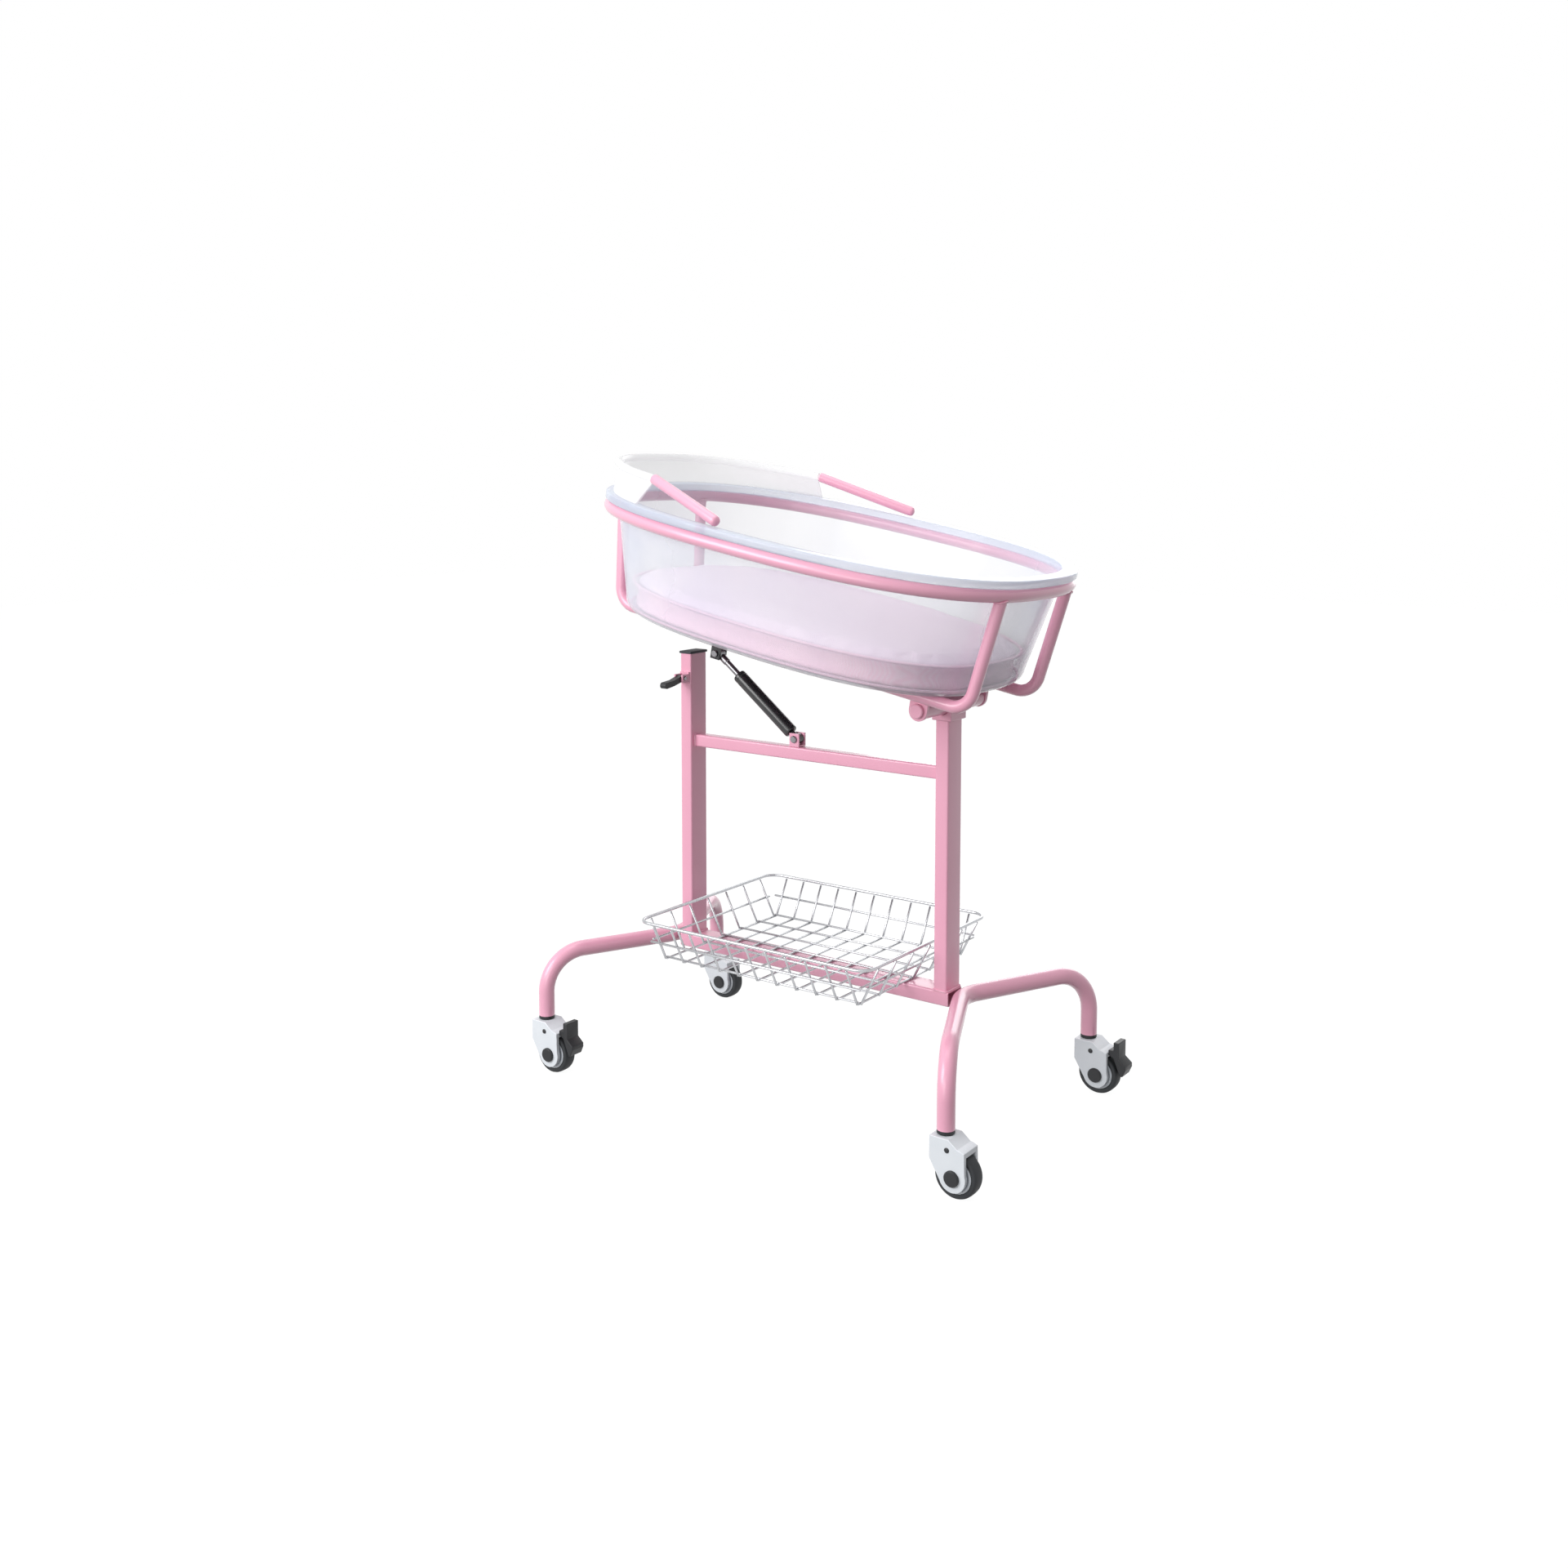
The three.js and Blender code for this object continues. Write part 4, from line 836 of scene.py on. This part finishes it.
def swollen_pad(node, name, voxel, cap, frames=20):
    """A copy of a node remeshed to even cloth and blown up by pressure for some frames, with no point
    moved further than the cap."""
    pad = bpy.data.objects.new(name, merged_copy(node))
    bpy.context.scene.collection.objects.link(pad)
    remesh = pad.modifiers.new("even_cloth", "REMESH")
    remesh.mode = "VOXEL"
    remesh.voxel_size = voxel * mm
    flatten(pad)
    before = corners_of(pad.data)
    cloth = pad.modifiers.new("cover", "CLOTH")
    cloth.settings.use_pressure = True
    cloth.settings.uniform_pressure_force = 4
    cloth.settings.effector_weights.gravity = 0
    cloth.settings.tension_stiffness = 20
    cloth.point_cache.frame_start, cloth.point_cache.frame_end = 1, frames
    for step in range(1, frames + 1):
        bpy.context.scene.frame_set(step)
    flatten(pad)
    bpy.context.scene.frame_set(1)
    move = corners_of(pad.data) - before
    far = np.linalg.norm(move, axis=1, keepdims=True)
    move *= np.minimum(1, cap * mm / np.maximum(far, 1e-9))
    pad.data.vertices.foreach_set("co", (before + move).ravel())
    return pad


pad = swollen_pad("mattress", "mattress_pad", 5, 6)
pad_points = corners_of(pad.data)
floor_level = (on_cradle([[0, 0, mattress_foot]])[0] * mm) @ cradle_up
sunk = np.minimum(pad_points @ cradle_up - floor_level, 0)
pad.data.vertices.foreach_set("co", (pad_points - sunk[:, None] * cradle_up).ravel())
pad.data.shade_smooth()
smooth = pad.modifiers.new("smooth_cover", "SUBSURF")
smooth.levels = smooth.render_levels = 1
place(pad, "basin", "mattress_cover", cover, "mattress")


def welt_cord():
    """The covered cord in the seams: a pinker cloth with uneven fine threads."""
    finish = Finish("welt_cord")
    twist = finish.noise(900.0, 2.0)
    finish.set(Base_Color=finish.mix(twist, shade(238, 196, 216), shade(246, 220, 234)), Roughness=0.85)
    finish.bump(twist, 0.2, 0.0005)
    return finish.material


welt = welt_cord()
welt_radius, welt_proud = 2.2, 0.5
for name, height in (("mattress_top_welt", mattress_top - 5), ("mattress_bottom_welt", mattress_foot + 6)):
    seam = on_cradle(oval_loop(mattress_side + welt_proud, height, 200))
    loop = tube(seam, welt_radius, cradle_up, 10, closed=True)
    place(skin(name, loop, wrap_rows=True), "basin", "mattress_cover", welt)

# Head guard
# A bent panel of milky plastic with a rolled bead stands on the lip round the head end. Two pink arms
# slope from the bead's ends down to the lip and brace it.
guard_foot, guard_top = lip_top + touch_gap, 60
guard_length, guard_width, guard_end, guard_skirt = 371, 228, 191, 1.06
lip_middle = (lip_reach + wall_top - basin_wall) / 2
bead_radius, panel_half = 6, 1.5


def oval_angle(x, half_length, half_width):
    """The polar angle of the oval's point at an X."""
    y = half_width * (1 - np.abs(x / half_length) ** ring_power) ** (1 / ring_power)
    return np.arctan2(y, x)


bead_end = oval_angle(-guard_end, guard_length, guard_width)


def guard_sheet():
    """Sections side by side: up the panel's outer face, round the bead and down the inner face. The
    panel eases from the lip's oval at its foot to the bead's oval at its top."""
    angle = np.linspace(bead_end, 2 * np.pi - bead_end, 90)
    foot_angle = np.pi + (angle - np.pi) * guard_skirt
    seat = np.arccos(panel_half / bead_radius)
    share = np.linspace(0, 1, 8)[:, None]
    columns = []
    for offset, order in ((panel_half, 1), (-panel_half, -1)):
        low_x, low_y = oval(foot_angle, lip_middle + offset)
        top_x, top_y = oval(angle, offset, guard_length, guard_width)
        low = np.stack([low_x, low_y, np.full_like(low_x, guard_foot)], -1)
        top = np.stack([top_x, top_y, np.full_like(top_x, guard_top - bead_radius * np.sin(seat))], -1)
        columns.append((low[None] + share[..., None] * (top - low)[None])[::order])
    turn = np.linspace(-seat, np.pi + seat, 16)[1:-1, None]
    bead_x, bead_y = oval(angle[None], bead_radius * np.cos(turn), guard_length, guard_width)
    bead_z = np.broadcast_to(guard_top + bead_radius * np.sin(turn), bead_x.shape)
    bead = np.stack([bead_x, bead_y, bead_z], -1)
    return np.concatenate([columns[0], bead, columns[1]]).transpose(1, 0, 2)


guard_plastic = clear_plastic("milky_plastic", shade(248, 250, 249), 0.22, 0.34, 0.08)
place(skin("head_guard_panel", on_cradle(guard_sheet()), cap=True, sharp=60),
      "basin", "milky_plastic", guard_plastic, "head_guard")

arm_radius, arm_foot_x, foot_round, head_round = 8, -25, 6, 2
low_x, low_y = oval(oval_angle(arm_foot_x, ring_half_length, ring_half_width), lip_middle)
high_x, high_y = oval(bead_end, 0, guard_length, guard_width)
for side, node in ((-1, "front_guard_arm"), (1, "back_guard_arm")):
    low = np.array([low_x, side * low_y, guard_foot + arm_radius])
    high = np.array([high_x, side * high_y, guard_top])
    length = np.linalg.norm(high - low) - bead_radius / 2
    # The radius grows as a quarter circle over the foot's end, stays, and eases at the head's end.
    spots = np.array([0, 0.6, 1.8, 3.5, 6]) / 6
    reach = np.concatenate([spots * foot_round, length - spots[::-1] * head_round])
    swell = np.concatenate([np.sin(np.arccos(1 - spots)), np.ones(4), [0.8]]) * arm_radius
    run = low + reach[:, None] * unit(high - low)
    arm = tube(on_cradle(run), np.maximum(swell, 0.3), across, 24)
    painted(skin(node + "_tube", arm, cap=True), "basin", node)

# Camera, floor and light
# The photograph's place: a camera at the front right that looks a little down, a white floor, and soft
# light from the front left.
camera = bpy.data.objects.new("camera", bpy.data.cameras.new("camera"))
bpy.context.scene.collection.objects.link(camera)
frame_pixels, focal_pixels, shift_pixels = 1920, 1929.7, -230
down, turn = np.radians((4.874, 36.18))
camera.location = at_trolley((1384.8, -1971.5, 966.7)) * mm
camera.rotation_euler = (np.pi / 2 - down, 0, turn)
camera.data.sensor_width = 36
camera.data.lens = camera.data.sensor_width * focal_pixels / frame_pixels
camera.data.shift_y = shift_pixels / frame_pixels
bpy.context.scene.camera = camera


def white_floor():
    """A pale floor: white to the camera and to shiny or clear surfaces, with a dull coat for shadows."""
    finish = Finish("white_floor")
    tree = finish.tree
    path = finish.node("ShaderNodeLightPath", output="Is Camera Ray")
    rays = path.socket.node.outputs
    seen = path + Field(finish, rays["Is Glossy Ray"]) + Field(finish, rays["Is Transmission Ray"])
    glow = finish.node("ShaderNodeEmission", None, {"Color": (1, 1, 1, 1), "Strength": seen * 0.95})
    speck = finish.noise(3.0, 2.0)
    finish.set(Base_Color=finish.mix(speck, (0.10, 0.10, 0.10, 1), (0.12, 0.12, 0.12, 1)),
               Roughness=0.9, Specular_IOR_Level=0.0)
    both = finish.node("ShaderNodeAddShader", None, {0: Field(finish, finish.shader.outputs[0]), 1: glow})
    tree.links.new(both.socket, tree.nodes["Material Output"].inputs["Surface"])
    return finish.material


floor_sides = (-9000, 9000)
floor_grid = np.array([[(x, y, 0) for x in floor_sides] for y in floor_sides], float)
floor = skin("floor", floor_grid, wrap_columns=False)
floor.data.materials.append(white_floor())

world = bpy.data.worlds.new("studio")
world.use_nodes = True
bpy.context.scene.world = world
# White to the camera, in reflections and through clear pieces, and an even half light on the object.
backdrop = world.node_tree
rays = backdrop.nodes.new("ShaderNodeLightPath").outputs
mirrored, shown = [backdrop.nodes.new("ShaderNodeMath") for _ in range(2)]
level = backdrop.nodes.new("ShaderNodeMapRange")
level.inputs["To Min"].default_value = 0.49
level.inputs["To Max"].default_value = 1.0
background = backdrop.nodes["Background"]
background.inputs["Color"].default_value = (1, 1, 1, 1)
for source, socket in ((rays["Is Glossy Ray"], mirrored.inputs[0]),
                       (rays["Is Transmission Ray"], mirrored.inputs[1]),
                       (rays["Is Camera Ray"], shown.inputs[0]),
                       (mirrored.outputs[0], shown.inputs[1]),
                       (shown.outputs[0], level.inputs["Value"]),
                       (level.outputs["Result"], background.inputs["Strength"])):
    backdrop.links.new(source, socket)


def soft_light(name, position, target, size, power):
    """A square area light at a position, turned to a target."""
    lamp = bpy.data.objects.new(name, bpy.data.lights.new(name, "AREA"))
    bpy.context.scene.collection.objects.link(lamp)
    lamp.data.size = size
    lamp.data.energy = power
    lamp.location = position
    x, y, z = unit(np.array(target) - np.array(position))
    lamp.rotation_euler = (np.arccos(-z), 0, np.arctan2(y, x) - np.pi / 2)


object_middle = (0, 0, 0.6)
soft_light("key", (-1.5, -2.9, 1.9), object_middle, 2.0, 84)
soft_light("fill", (0.4, -3.3, 0.9), object_middle, 1.6, 24)
soft_light("top", (0.0, 0.0, 3.2), object_middle, 2.4, 30)
soft_light("back", (-0.9, 3.2, 1.6), object_middle, 2.0, 24)

bpy.context.scene.view_settings.view_transform = "Standard"
